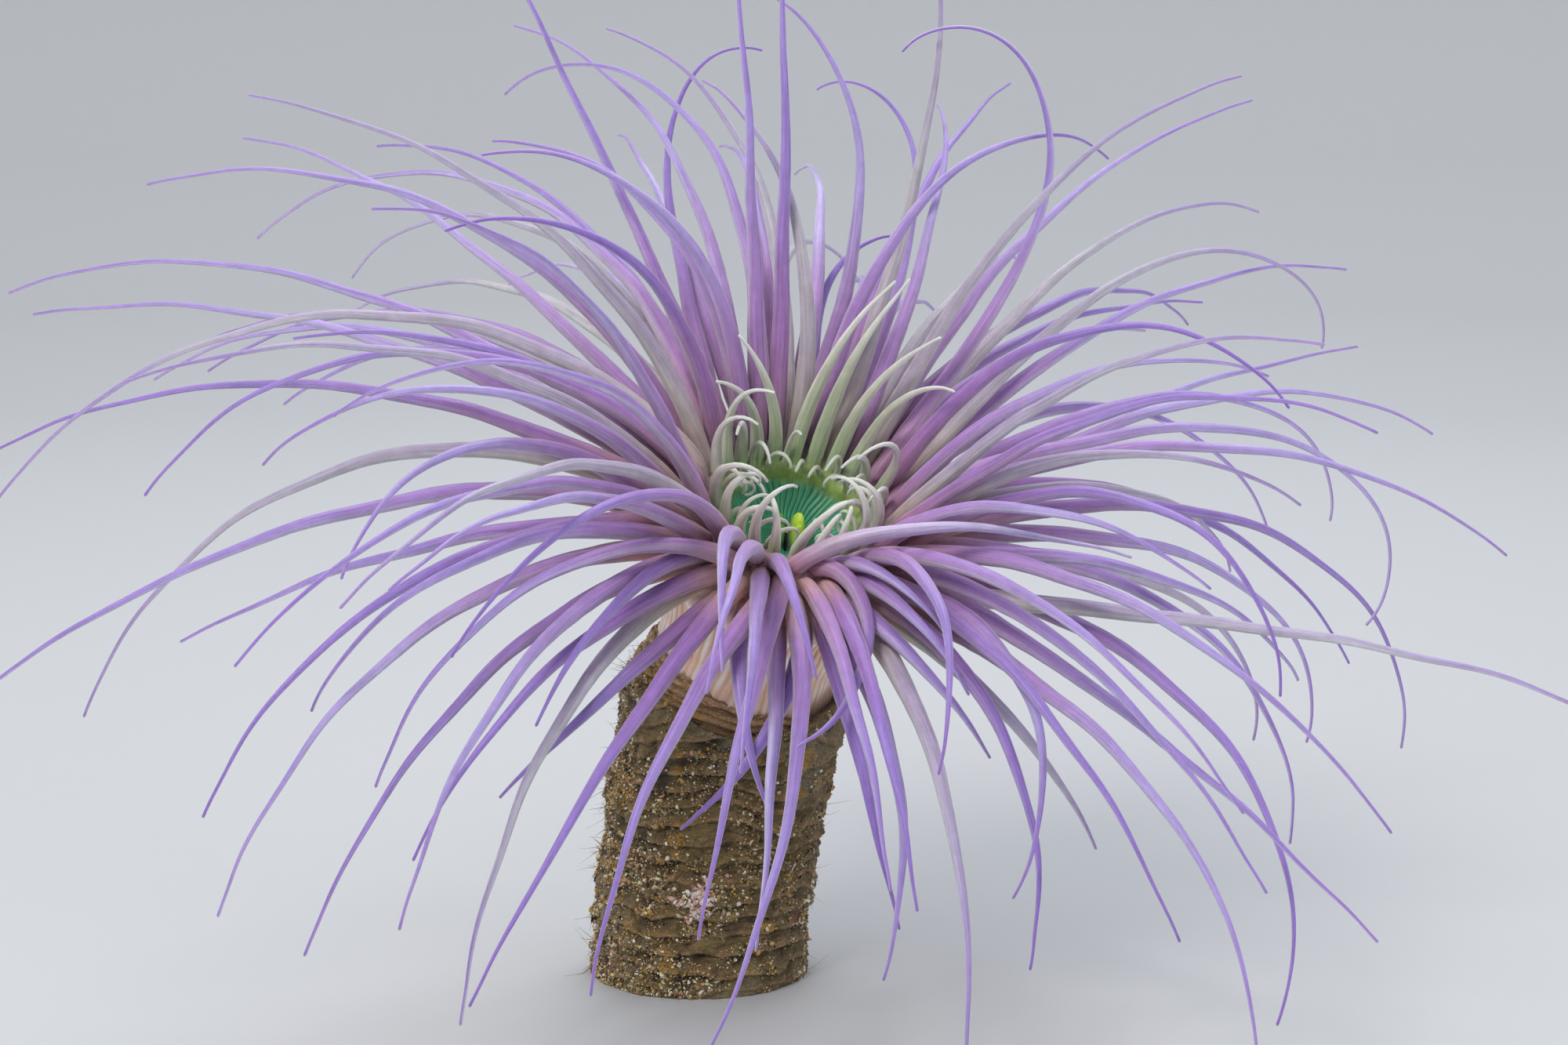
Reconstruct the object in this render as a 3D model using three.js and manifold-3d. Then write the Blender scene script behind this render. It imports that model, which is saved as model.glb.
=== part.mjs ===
// A tube anemone (a cerianthid), life size, standing in the top of its own felt tube.
// Millimetres, +Z up. The origin is the middle of the tube's flat foot, +X is the animal's right
// as it is seen from the front, and -Y is the front.
import * as THREE from "three";
import Module from "manifold-3d";

// ---- driving dimensions, mm and degrees ----
const TUBE_HEIGHT = 59;
const TUBE_FOOT_RADIUS = 20.4;
const TUBE_RIM_RADIUS = 22;
const TUBE_WALL = 2.4;
const TUBE_SOCKET = 7;
const TUBE_FOLDS = 7;
const FOLD_HEIGHT = 0.45;

const CROWN_HEIGHT = 90;
const CROWN_RIGHT = 17.5;
const CROWN_FORWARD = 12;
const LEAN_RIGHT = 13;
const LEAN_FORWARD = 30;
const CROWN_RADIUS = 26.2;
const CROWN_DEPTH = 9;

const COLUMN_RADIUS = 17.8;
const DISC_RADIUS = 12.4;
const BOWL_DEPTH = 6.6;
const MOUTH_LENGTH = 7.5;
const MOUTH_WIDTH = 5.2;

// The marginal tentacles stand in four rows, and each row is half a slot round from the last.
// They lean out from the crown's axis, and those at the front lean out further.
const SLOTS = 32;
const ROWS = [
  { name: "row1", radius: 17.0, offset: 0, lean: 24, frontLean: 40, base: 1.85 },
  { name: "row2", radius: 19.8, offset: 0.5, lean: 38, frontLean: 52, base: 1.85 },
  { name: "row3", radius: 22.4, offset: 0, lean: 54, frontLean: 64, base: 1.85 },
  { name: "row4", radius: 24.8, offset: 0.5, lean: 72, frontLean: 80, base: 1.85 },
];
const ROW_EDGES = [15.6, 18.4, 21.1, 23.6, CROWN_RADIUS];
// Each row is divided where a person would point: how many slots, from the first slot on the right.
const ARCS = [
  { name: "right", first: -3, slots: 6 },
  { name: "back_right", first: 3, slots: 5 },
  { name: "back_left", first: 8, slots: 5 },
  { name: "left", first: 13, slots: 6 },
  { name: "front_left", first: 19, slots: 5 },
  { name: "front_right", first: 24, slots: 5 },
];
const LABIAL_SLOTS = 24;
const LABIAL_RADIUS = 14;
const LABIAL_EDGES = [12.6, 15.6];
const LABIAL_BASE = 1.3;

const TIP_RADIUS = 0.27;
const TAPER = 1.45;
const ROOT_SINK = 1;
const HELD = 6;
const SEAM = 0.3;
const FLOOR_CLEARANCE = 5;
const NEAR_GAP = 0.3;
const FAR_GAP = 1.1;
const SHORTEST_OUTER = 112;

// The long tentacles that give the crown its outline, each by the way it lies seen from the front:
// the slot's angle around the crown, the heading it starts and ends with, how late it turns,
// how far it points away from the front at its start and end, and its length.
const LONG = [
  // row, around, starts, ends, late, away, away at the tip, length
  [1, 132, 114, 118, 1.0, 25, 10, 122],
  [2, 106, 92, 225, 2.5, 40, 15, 117],
  [3, 112, 97, 167, 2.0, 45, 20, 114],
  [3, 122, 106, -20, 4.6, 45, 25, 110],
  [2, 94, 88, 165, 2.0, 42, 15, 104],
  [2, 80, 71, 172, 2.6, 38, 10, 110],
  [3, 72, 68, 216, 4.4, 45, 20, 100],
  [1, 62, 70, 101, 2.3, 20, 0, 112],
  [4, 88, 84, -8, 4.0, 60, 20, 60],
  [1, 35, 52, 232, 3.4, 20, 0, 118],
  [2, 46, 57, 14, 1.6, 35, 20, 120],
  [4, 56, 60, -6, 0.8, 45, 30, 98],
  [2, 28, 44, -100, 3.6, 20, 5, 114],
  [3, 20, 20, 6, 1.5, 30, 25, 108],
  [2, 14, 24, -100, 3.0, 15, 10, 106],
  [1, 8, 16, -132, 3.2, 5, 0, 124],
  [3, 2, 10, -98, 2.0, 5, 0, 124],
  [4, -30, 0, -32, 3.0, -35, -10, 142],
  [4, 0, 2, -108, 2.5, 0, -5, 96],
  [3, -8, 0, -100, 1.7, -15, -15, 100],
  [4, -10, -2, -105, 2.6, 10, -10, 82],
  [4, -22, -10, -116, 1.7, -35, -28, 122],
  [3, -34, -20, -46, 1.0, -45, -25, 115],
  [4, -44, -20, -95, 1.7, -50, -30, 122],
  [3, -54, -8, -103, 0.8, -45, -15, 84],
  [4, -66, -20, -98, 0.45, -58, -28, 102],
  [4, -76, -38, -108, 0.8, -58, -15, 74],
  [3, -86, -45, -117, 0.35, -65, -15, 96],
  [2, -98, -112, -100, 1.0, -70, -10, 78],
  [3, -110, -150, -118, 0.4, -50, -25, 98],
  [2, 160, 150, 203, 2.2, 10, 0, 138],
  [3, 166, 151, 190, 1.5, 10, 5, 128],
  [3, 176, 152, 208, 1.3, 0, 0, 130],
  [1, 168, 127, 236, 1.0, -5, -10, 152],
  [1, 180, 130, 236, 1.2, -12, -15, 118],
  [2, 140, 106, 224, 1.3, 25, 5, 132],
  [3, 145, 138, 174, 3.0, 30, 10, 114],
  [2, 132, 121, 188, 2.0, 30, 15, 112],
  [3, 134, 114, 236, 1.7, 35, 15, 118],
  [4, 160, 140, 214, 1.4, 30, 10, 116],
  [4, 186, 146, 218, 0.5, -15, -20, 140],
  [4, 178, 150, 250, 1.0, -5, -10, 126],
  [3, 206, 170, 248, 1.1, -35, -20, 110],
  [4, 196, 166, 208, 0.7, -20, -10, 90],
  [2, 238, 118, 252, 0.6, -40, -10, 92],
  [3, 232, 180, 246, 0.8, -50, -10, 84],
  [3, 256, 214, 262, 0.8, -60, -10, 88],
  [1, 281, 112, -168, 0.38, -5, -32, 56],
  [1, 270, 88, -18, 0.28, -12, 5, 66],
];

// ---- the crown's own frame ----
const rad = THREE.MathUtils.degToRad;
const vec = (x, y, z) => new THREE.Vector3(x, y, z);
const mix = (a, b, t) => a + (b - a) * t;

const CENTRE = vec(CROWN_RIGHT, -CROWN_FORWARD, CROWN_HEIGHT);
const AXIS = vec(Math.tan(rad(LEAN_RIGHT)), -Math.tan(rad(LEAN_FORWARD)), 1).normalize();
const ACROSS = vec(1, 0, 0).addScaledVector(AXIS, -AXIS.x).normalize();
const BACK = AXIS.clone().cross(ACROSS);
const PLACE = new THREE.Matrix4().makeBasis(ACROSS, BACK, AXIS).setPosition(CENTRE);

// A point of the crown: its radius, its angle from the right towards the back, and its height.
function crownPoint(radius, angle, height) {
  const a = rad(angle);
  return vec(radius * Math.cos(a), radius * Math.sin(a), height).applyMatrix4(PLACE);
}

// The direction straight outwards at an angle around the crown.
function outward(angle) {
  const a = rad(angle);
  return ACROSS.clone().multiplyScalar(Math.cos(a)).addScaledVector(BACK, Math.sin(a));
}

// The height of the fleshy rim above the crown's plane, highest under the first row.
const rimTop = (radius) => 0.6 - 0.066 * (radius - ROWS[0].radius) ** 2;

// ---- solids ----
const wasm = await Module();
wasm.setup();

function solid(points, triangles) {
  const vertProperties = new Float32Array(points.flatMap((p) => [p.x, p.y, p.z]));
  const triVerts = new Uint32Array(triangles.flat());
  return new wasm.Manifold(new wasm.Mesh({ numProp: 3, vertProperties, triVerts }));
}

// A closed skin over rings of equally many points, each ring anticlockwise seen from the next one.
function loft(rings) {
  const n = rings[0].length;
  const last = (rings.length - 1) * n;
  const triangles = [];
  for (let i = 0; i + n <= last; i += n) {
    for (let j = 0; j < n; j++) {
      const k = (j + 1) % n;
      triangles.push([i + j, i + k, i + n + k], [i + j, i + n + k, i + n + j]);
    }
  }
  for (let j = 1; j + 1 < n; j++) {
    triangles.push([0, j + 1, j], [last, last + j, last + j + 1]);
  }
  return solid(rings.flat(), triangles);
}

// A ring of points around a centre, square to an axis.
function ring(centre, axis, radius, sides, start) {
  const u = start.clone().addScaledVector(axis, -start.dot(axis)).normalize();
  const v = axis.clone().cross(u);
  return Array.from({ length: sides }, (_, j) => {
    const a = (2 * Math.PI * j) / sides;
    return centre
      .clone()
      .addScaledVector(u, radius * Math.cos(a))
      .addScaledVector(v, radius * Math.sin(a));
  });
}

function geometryOf(manifold) {
  const { vertProperties, triVerts } = manifold.getMesh();
  const geometry = new THREE.BufferGeometry();
  geometry.setAttribute("position", new THREE.BufferAttribute(vertProperties, 3));
  geometry.setIndex(new THREE.BufferAttribute(triVerts, 1));
  return geometry;
}

// ---- the tube and the column ----
// The middle line of the tube and column: it leans over more and more on its way up.
const spine = (z) =>
  vec(CROWN_RIGHT * (z / CROWN_HEIGHT) ** 1.8, -CROWN_FORWARD * (z / CROWN_HEIGHT) ** 2.5, z);
const spineAxis = (z) =>
  z <= 0 ? vec(0, 0, 1) : spine(z + 0.5).sub(spine(z - 0.5)).normalize();

function tube() {
  const rings = [];
  for (let i = 0; i <= TUBE_FOLDS; i++) {
    const z = (TUBE_HEIGHT * i) / TUBE_FOLDS;
    const fold = i === 0 ? 0 : FOLD_HEIGHT * (i % 2 ? -1 : 1);
    const radius = mix(TUBE_FOOT_RADIUS, TUBE_RIM_RADIUS, (z / TUBE_HEIGHT) ** 2) + fold;
    rings.push(ring(spine(z), spineAxis(z), radius, 20, ACROSS));
  }
  const mouth = TUBE_RIM_RADIUS - TUBE_WALL;
  for (const z of [TUBE_HEIGHT, TUBE_HEIGHT - TUBE_SOCKET]) {
    rings.push(ring(spine(z), spineAxis(z), mouth, 20, ACROSS));
  }
  return loft(rings);
}

function column() {
  const foot = TUBE_HEIGHT - TUBE_SOCKET + 0.4;
  const top = crownPoint(0, 0, -CROWN_DEPTH - SEAM);
  const rings = [ring(spine(foot), spineAxis(foot), COLUMN_RADIUS, 20, ACROSS)];
  const flare = [
    [0.25, COLUMN_RADIUS - 0.3],
    [0.5, 18.2],
    [0.72, 19.6],
    [0.88, 22],
    [1, 24.8],
  ];
  const start = spine(TUBE_HEIGHT - 1);
  for (const [t, radius] of flare) {
    const axis = spineAxis(TUBE_HEIGHT).lerp(AXIS, t).normalize();
    rings.push(ring(start.clone().lerp(top, t), axis, radius, 20, ACROSS));
  }
  return loft(rings);
}

// ---- the oral disc and the mouth ----
const bowl = (r) => -BOWL_DEPTH + (BOWL_DEPTH - 0.5) * (r / DISC_RADIUS) ** 2.2;

function disc() {
  const rings = [];
  const level = (r, h) =>
    Array.from({ length: 20 }, (_, j) => crownPoint(r, 18 * j, h));
  rings.push(level(DISC_RADIUS, -CROWN_DEPTH));
  for (const r of [DISC_RADIUS, 10.5, 7.5, 4.5]) rings.push(level(r, bowl(r)));
  return loft(rings);
}

// Two swollen lips around a slit that runs from front to back.
function mouth() {
  const foot = bowl(4.5) + SEAM;
  const rings = [
    [1.0, foot],
    [1.0, foot + 1.2],
    [0.62, foot + 1.9],
    [0.3, foot + 0.9],
  ].map(([scale, h]) =>
    Array.from({ length: 12 }, (_, j) => {
      const a = rad(30 * j);
      const local = vec((MOUTH_WIDTH / 2) * scale * Math.cos(a), (MOUTH_LENGTH / 2) * scale * Math.sin(a), h);
      return local.applyMatrix4(PLACE);
    }),
  );
  return loft(rings);
}

// ---- the way each tentacle lies ----
const STEPS = 60;
const UNPLACE = PLACE.clone().invert();
const settled = [];

// How thick a tentacle is at a distance from its root: pinched at the root, then tapering.
function thickness(base, s, length) {
  const taper = Math.max(0, 1 - s / length) ** TAPER;
  return (TIP_RADIUS + (base - TIP_RADIUS) * taper) * (1 - 0.3 * Math.exp(-s / 3.5));
}

// The middle line from a root, following a direction that is given for each share of the length.
function follow(root, direction, length, base) {
  const points = [root];
  for (let i = 0; i < STEPS; i++) {
    const step = direction((i + 0.5) / STEPS).multiplyScalar(length / STEPS);
    points.push(points[i].clone().add(step));
  }
  const along = points.map((_, i) => (length * i) / STEPS);
  return { points, along, radii: along.map((s) => thickness(base, s, length)), length, base };
}

// About how far a point is outside the crown, the column and the tube.
function outside(point) {
  const local = point.clone().applyMatrix4(UNPLACE);
  const r = Math.hypot(local.x, local.y);
  if (local.z > -CROWN_DEPTH) {
    if (r <= DISC_RADIUS) return local.z - bowl(r);
    if (r <= CROWN_RADIUS) return local.z - rimTop(r);
    return Math.hypot(r - CROWN_RADIUS, Math.max(0, local.z - rimTop(CROWN_RADIUS)));
  }
  const level = spine(Math.min(point.z, TUBE_HEIGHT));
  if (point.z < TUBE_HEIGHT) {
    return Math.hypot(point.x - level.x, point.y - level.y) - TUBE_RIM_RADIUS - FOLD_HEIGHT;
  }
  const flare = mix(CROWN_RADIUS, COLUMN_RADIUS, Math.min(1, (-local.z - CROWN_DEPTH) / 9));
  return r - flare;
}

// Whether two tentacles are plainly clear of each other, by every sixth point of each.
function farApart(path, other) {
  const reach = (3 * (path.length + other.length)) / STEPS + 2 * ROWS[0].base + FAR_GAP;
  for (let i = 0; i <= STEPS; i += 6) {
    for (let j = 0; j <= STEPS; j += 6) {
      if (path.points[i].distanceToSquared(other.points[j]) < reach * reach) return false;
    }
  }
  return true;
}

// How much room a tentacle has to spare: below zero, it is too close to something.
function room(path) {
  let least = Infinity;
  for (let i = 3; i <= STEPS; i++) {
    const p = path.points[i];
    if (path.along[i] > 5) least = Math.min(least, outside(p) - path.radii[i] - 0.4);
    least = Math.min(least, p.z - FLOOR_CLEARANCE);
  }
  for (const other of settled) {
    if (other === path.replaces || farApart(path, other)) continue;
    for (let i = 1; i <= STEPS; i++) {
      const p = path.points[i];
      for (let j = 1; j <= STEPS; j++) {
        const q = other.points[j];
        const free = Math.min(1, Math.min(path.along[i], other.along[j]) / 40);
        const need = path.radii[i] + other.radii[j] + mix(NEAR_GAP, FAR_GAP, free);
        if (Math.abs(p.x - q.x) < need + 1 && Math.abs(p.z - q.z) < need + 1) {
          least = Math.min(least, p.distanceTo(q) - need);
        }
      }
    }
  }
  return least;
}

// Keeps the first of several ways to lie that has room, or else the one with the most.
function settle(ways, attempts, facts) {
  let best = null;
  for (let attempt = 0; attempt < attempts; attempt++) {
    const path = ways(attempt);
    path.room = room(path);
    if (!best || path.room > best.room) best = path;
    if (best.room >= 0) break;
  }
  Object.assign(best, facts, { ways, attempts });
  settled.push(best);
  return best;
}

// Lets every crowded tentacle try again now that all the others have settled.
function loosen() {
  for (const path of settled) {
    if (path.room >= 0) continue;
    for (let attempt = 0; attempt < 2 * path.attempts; attempt++) {
      const next = path.ways(attempt);
      next.replaces = path;
      next.room = room(next);
      if (next.room > path.room) Object.assign(path, next);
      if (path.room >= 0) break;
    }
  }
}

const slotAngle = (row, slot) => ((slot + ROWS[row].offset) * 360) / SLOTS;
const nearestSlot = (row, around) =>
  (Math.round((around * SLOTS) / 360 - ROWS[row].offset) + SLOTS) % SLOTS;

// The direction that leans from the crown's axis towards an angle around it.
const leaning = (angle, lean) =>
  AXIS.clone().multiplyScalar(Math.cos(rad(lean))).addScaledVector(outward(angle), Math.sin(rad(lean)));

// How far an angle round the crown faces the front, from 0 to 1.
const frontness = (angle) => Math.max(0, -Math.sin(rad(angle)));
const rowLean = (row, angle) => mix(ROWS[row].lean, ROWS[row].frontLean, frontness(angle) ** 1.5);

// A long tentacle leaves the rim as its neighbours do, then lies as its line of LONG says, swung nearer or further where it has no room.
const SWINGS = [0, 5, -5, 10, -10, 15, -15, 20, -20, 26, -26, 33, -33];
function longTentacle([rowNumber, around, starts, ends, late, away, awayTip, length]) {
  const row = rowNumber - 1;
  const slot = nearestSlot(row, around);
  const root = crownPoint(ROWS[row].radius, slotAngle(row, slot), rimTop(ROWS[row].radius));
  const rise = leaning(slotAngle(row, slot), rowLean(row, slotAngle(row, slot)));
  const ways = (attempt) => {
    const swing = SWINGS[attempt % SWINGS.length];
    const shorter = length * (1 - 0.06 * Math.floor(attempt / SWINGS.length));
    const direction = (t) => {
      const turn = rad(mix(starts, ends, t ** late));
      const depth = rad(mix(away, awayTip, t) + swing);
      const held = Math.exp(-(((t * shorter) / HELD) ** 2));
      return vec(Math.cos(depth) * Math.cos(turn), Math.sin(depth), Math.cos(depth) * Math.sin(turn))
        .lerp(rise, held)
        .normalize();
    };
    return follow(root, direction, shorter, ROWS[row].base);
  };
  return settle(ways, SWINGS.length * 3, { row, slot, long: length >= SHORTEST_OUTER });
}

// Evenly scattered numbers from 0 to 1, one for each tentacle, use and attempt.
const scatter = (n, use, attempt) =>
  (n * 0.61803398875 + use * 0.7548776662 + attempt * 0.569840291) % 1;

// A direction that starts at a lean from the crown's axis and droops outwards, or inwards, and down.
function droop(angle, lean, sideways, bend, late, outwards = 0.55) {
  const out = outward(angle);
  const from = leaning(angle, lean);
  const side = AXIS.clone().cross(out);
  const pull = out.multiplyScalar(outwards).addScaledVector(side, sideways).add(vec(0, 0, -0.75));
  pull.addScaledVector(from, -pull.dot(from)).normalize();
  return (t) => {
    const turn = rad(bend) * t ** late;
    return from.clone().multiplyScalar(Math.cos(turn)).addScaledVector(pull, Math.sin(turn));
  };
}

function shortTentacle(row, slot, n) {
  const angle = slotAngle(row, slot);
  const root = crownPoint(ROWS[row].radius, angle, rimTop(ROWS[row].radius));
  const front = frontness(angle);
  const ways = (attempt) => {
    const [turn, lean, side, bend, late, size] = [1, 2, 3, 4, 5, 6].map((use) => scatter(n, use, attempt));
    const loose = 14 + 0.12 * attempt;
    const direction = droop(
      angle + loose * (turn - 0.5),
      rowLean(row, angle) + loose * (lean - 0.5),
      1.4 * (side - 0.5),
      45 + 75 * bend,
      mix(0.9 + 1.4 * late, 0.55 + 0.6 * late, front ** 1.5),
    );
    const longest = mix(78 + 46 * size, 36 + 46 * size, front ** 3);
    const length = longest * Math.max(0.6, 1 - 0.004 * attempt);
    return follow(root, direction, length, ROWS[row].base);
  };
  return settle(ways, 100, { row, slot, long: false });
}

// The small tentacles on the disc's edge: straight at the back, and curled hooks elsewhere.
function labialTentacle(slot) {
  const angle = (slot * 360) / LABIAL_SLOTS;
  const root = crownPoint(LABIAL_RADIUS, angle, rimTop(LABIAL_RADIUS));
  const back = Math.max(0, Math.sin(rad(angle))) ** 1.5;
  const ways = (attempt) => {
    const [lean, side, bend, late, size] = [1, 2, 3, 4, 5].map((use) => scatter(slot + 500, use, attempt));
    const direction = droop(
      angle,
      mix(17, 12, back) + 14 * (lean - 0.5),
      side - 0.5,
      mix(140 + 90 * bend, 20 + 30 * bend, back),
      mix(2.1 + 1.2 * late, 0.8 + 0.6 * late, back),
      mix(-0.9, 0.5, back),
    );
    const length = mix(14 + 11 * size, 26 + 30 * size, back) * Math.max(0.6, 1 - 0.006 * attempt);
    return follow(root, direction, length, LABIAL_BASE);
  };
  return settle(ways, 80, { slot });
}

// ---- from middle lines to solids ----
// Where along a tentacle its rings go: evenly by its length and by how much it has turned.
function stations(path) {
  const turned = [0];
  for (let i = 1; i < STEPS; i++) {
    const before = path.points[i].clone().sub(path.points[i - 1]);
    const after = path.points[i + 1].clone().sub(path.points[i]);
    turned.push(turned[i - 1] + THREE.MathUtils.radToDeg(before.angleTo(after)));
  }
  turned.push(turned[STEPS - 1]);
  const bend = turned[STEPS];
  const first = Math.max(1, Math.round((3.5 * STEPS) / path.length));
  const pieces = Math.min(9, Math.max(2, Math.round((path.length > 60 ? 1.5 : 0.6) + bend / 36)));
  const measure = (i) => 0.45 * (i / STEPS) + 0.55 * (bend > 1 ? turned[i] / bend : i / STEPS);
  const found = [first];
  for (let k = 1; k < pieces; k++) {
    const want = mix(measure(first), 1, k / pieces);
    let i = found[found.length - 1] + 1;
    while (i < STEPS && measure(i) < want) i++;
    if (i < STEPS - 1) found.push(i);
  }
  found.push(STEPS);
  return found;
}

// The rings of a tentacle as a three-sided taper, its sides turned along with its bends.
const SIDES = 3;
const FACET = 1.28; // a triangle this much larger than the round section is as wide from the side
function tentacleRings(path) {
  const rings = [];
  let start = ACROSS.clone();
  const sunk = path.points[0].clone().addScaledVector(AXIS, -ROOT_SINK);
  rings.push({ at: 0, points: ring(sunk, AXIS, FACET * 0.45 * path.base, SIDES, start) });
  for (const i of stations(path)) {
    const tangent = path.points[Math.min(STEPS, i + 1)].clone().sub(path.points[i - 1]).normalize();
    start = start.clone().addScaledVector(tangent, -start.dot(tangent)).normalize();
    rings.push({
      at: i,
      points: ring(path.points[i], tangent, FACET * path.radii[i], SIDES, start),
    });
  }
  return rings;
}

// Cuts a long tentacle across between two of its rings, and gives its two lengths.
function divide(rings) {
  const cut = rings.findIndex(({ at }) => at > 0.42 * STEPS);
  const [a, b] = [rings[cut - 1].points, rings[cut].points];
  const span = a[0].distanceTo(b[0]);
  const between = (t) => a.map((p, j) => p.clone().lerp(b[j], t));
  const inner = [...rings.slice(0, cut).map((r) => r.points), between(0.5 - SEAM / 2 / span)];
  const outer = [between(0.5 + SEAM / 2 / span), ...rings.slice(cut).map((r) => r.points)];
  return [loft(inner), loft(outer)];
}

// The piece of fleshy rim that a bundle of tentacles grows from.
function rimPiece(inner, outer, from, to, stepCount) {
  const faces = [];
  for (let i = 0; i <= stepCount; i++) {
    const angle = mix(from, to, i / stepCount);
    faces.push([
      crownPoint(inner + SEAM, angle, -CROWN_DEPTH),
      crownPoint(outer - 0.2, angle, -CROWN_DEPTH),
      crownPoint(outer - 0.2, angle, rimTop(outer)),
      crownPoint(inner + SEAM, angle, rimTop(inner)),
    ]);
  }
  return loft(faces.map((face) => face.reverse()));
}

// ---- materials ----
const flesh = (color, roughness) => new THREE.MeshStandardMaterial({ color, roughness });
const FELT = flesh(0x6b5c41, 0.95);
const COLUMN_SKIN = flesh(0xc9a58c, 0.5);
const DISC_SKIN = flesh(0x2f8f6a, 0.4);
const LIP_SKIN = flesh(0xb9c46a, 0.4);
const LABIAL_SKIN = flesh(0xa9b894, 0.4);
const ROOT_SKIN = flesh(0xa58aa6, 0.45);
const TIP_SKIN = flesh(0x7d6bb0, 0.45);

// ---- the whole animal ----
const animal = new THREE.Group();
function addMesh(name, geometry, material) {
  const mesh = new THREE.Mesh(geometry, material);
  mesh.name = name;
  animal.add(mesh);
}

addMesh("tube", geometryOf(tube()), FELT);
addMesh("column", geometryOf(column()), COLUMN_SKIN);
addMesh("oral_disc", geometryOf(disc()), DISC_SKIN);
addMesh("mouth", geometryOf(mouth()), LIP_SKIN);

const marginal = LONG.map(longTentacle);
let count = 0;
for (let row = 0; row < ROWS.length; row++) {
  for (let slot = 0; slot < SLOTS; slot++) {
    count++;
    if (marginal.some((t) => t.row === row && t.slot === slot)) continue;
    marginal.push(shortTentacle(row, slot, count));
  }
}
const labial = Array.from({ length: LABIAL_SLOTS }, (_, slot) => labialTentacle(slot));
loosen();

for (let row = 0; row < ROWS.length; row++) {
  const { name, offset } = ROWS[row];
  for (const arc of ARCS) {
    const from = ((arc.first + offset - 0.5) * 360) / SLOTS + 0.5;
    const to = ((arc.first + arc.slots + offset - 0.5) * 360) / SLOTS - 0.5;
    let bundle = rimPiece(ROW_EDGES[row], ROW_EDGES[row + 1], from, to, arc.slots);
    for (let k = 0; k < arc.slots; k++) {
      const slot = (arc.first + k + SLOTS) % SLOTS;
      const tentacle = marginal.find((t) => t.row === row && t.slot === slot);
      const rings = tentacleRings(tentacle);
      if (tentacle.long) {
        const [inner, outer] = divide(rings);
        bundle = bundle.add(inner);
        addMesh(`${name}_${arc.name}_outer_${k + 1}`, geometryOf(outer), TIP_SKIN);
      } else {
        bundle = bundle.add(loft(rings.map((r) => r.points)));
      }
    }
    addMesh(`${name}_${arc.name}`, geometryOf(bundle), ROOT_SKIN);
  }
}

const LABIAL_ARC = LABIAL_SLOTS / ARCS.length;
ARCS.forEach((arc, i) => {
  const first = LABIAL_ARC * (i - 0.5);
  const from = ((first - 0.5) * 360) / LABIAL_SLOTS + 0.7;
  const to = ((first + LABIAL_ARC - 0.5) * 360) / LABIAL_SLOTS - 0.7;
  let bundle = rimPiece(LABIAL_EDGES[0], LABIAL_EDGES[1], from, to, LABIAL_ARC);
  for (let k = 0; k < LABIAL_ARC; k++) {
    const slot = (first + k + LABIAL_SLOTS) % LABIAL_SLOTS;
    bundle = bundle.add(loft(tentacleRings(labial[slot]).map((r) => r.points)));
  }
  addMesh(`labial_${arc.name}`, geometryOf(bundle), LABIAL_SKIN);
});

export default animal;
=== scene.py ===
"""A tube anemone (a cerianthid) in the top of its felt tube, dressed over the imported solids.

One skin stands for all the flesh: the pleated column, the oral disc and its lips, and every
tentacle, joined into one mesh. The tube is a folded wall of felt with loose layers at its mouth,
and the grains, shell chips and threads that stick to it are joined meshes of their own.
Lengths are in millimetres until a mesh is made, and in metres from there. Angles round the crown
run from its right towards its back, in degrees for tentacles and in radians for meshes.
"""
import math

import bmesh
import bpy
import numpy as np
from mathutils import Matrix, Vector


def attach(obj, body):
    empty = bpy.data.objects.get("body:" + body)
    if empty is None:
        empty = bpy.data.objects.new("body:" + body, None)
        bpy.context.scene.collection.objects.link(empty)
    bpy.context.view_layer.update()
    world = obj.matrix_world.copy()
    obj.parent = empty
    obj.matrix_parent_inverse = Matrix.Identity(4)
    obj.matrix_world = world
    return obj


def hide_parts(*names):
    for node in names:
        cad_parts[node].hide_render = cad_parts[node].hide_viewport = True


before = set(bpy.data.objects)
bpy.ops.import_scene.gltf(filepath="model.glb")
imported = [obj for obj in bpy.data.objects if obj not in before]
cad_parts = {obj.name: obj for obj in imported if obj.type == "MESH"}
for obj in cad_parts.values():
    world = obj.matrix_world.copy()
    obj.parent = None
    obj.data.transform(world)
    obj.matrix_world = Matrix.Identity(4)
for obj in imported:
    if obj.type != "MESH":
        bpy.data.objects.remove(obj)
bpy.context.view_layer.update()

MM = 0.001
random = np.random.default_rng(20)

# ---- the sizes of the solids ----
TUBE_HEIGHT = 59.0
TUBE_FOOT_RADIUS = 20.4
TUBE_RIM_RADIUS = 22.0
FOLD_HEIGHT = 0.45
CROWN_HEIGHT, CROWN_RIGHT, CROWN_FORWARD = 90.0, 17.5, 12.0
LEAN_RIGHT, LEAN_FORWARD = 13.0, 30.0
CROWN_RADIUS, CROWN_DEPTH = 26.2, 9.0
COLUMN_RADIUS, FLARE_DEPTH = 17.8, 9.0
DISC_RADIUS, BOWL_DEPTH, BOWL_EDGE = 12.4, 6.6, 0.5
RIM_LIFT, RIM_FALL = 0.6, 0.066
SLOTS = 32
ROW_RADIUS = (17.0, 19.8, 22.4, 24.8)
ROW_OFFSET = (0.0, 0.5, 0.0, 0.5)
ROW_LEAN = (24.0, 38.0, 54.0, 72.0)
ROW_FRONT_LEAN = (40.0, 52.0, 64.0, 80.0)
ROW_BASE = 1.85
LABIAL_SLOTS, LABIAL_RADIUS, LABIAL_BASE = 24, 14.0, 1.3
HOOK_RADIUS, HOOK_BASE = 12.7, 0.62
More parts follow.
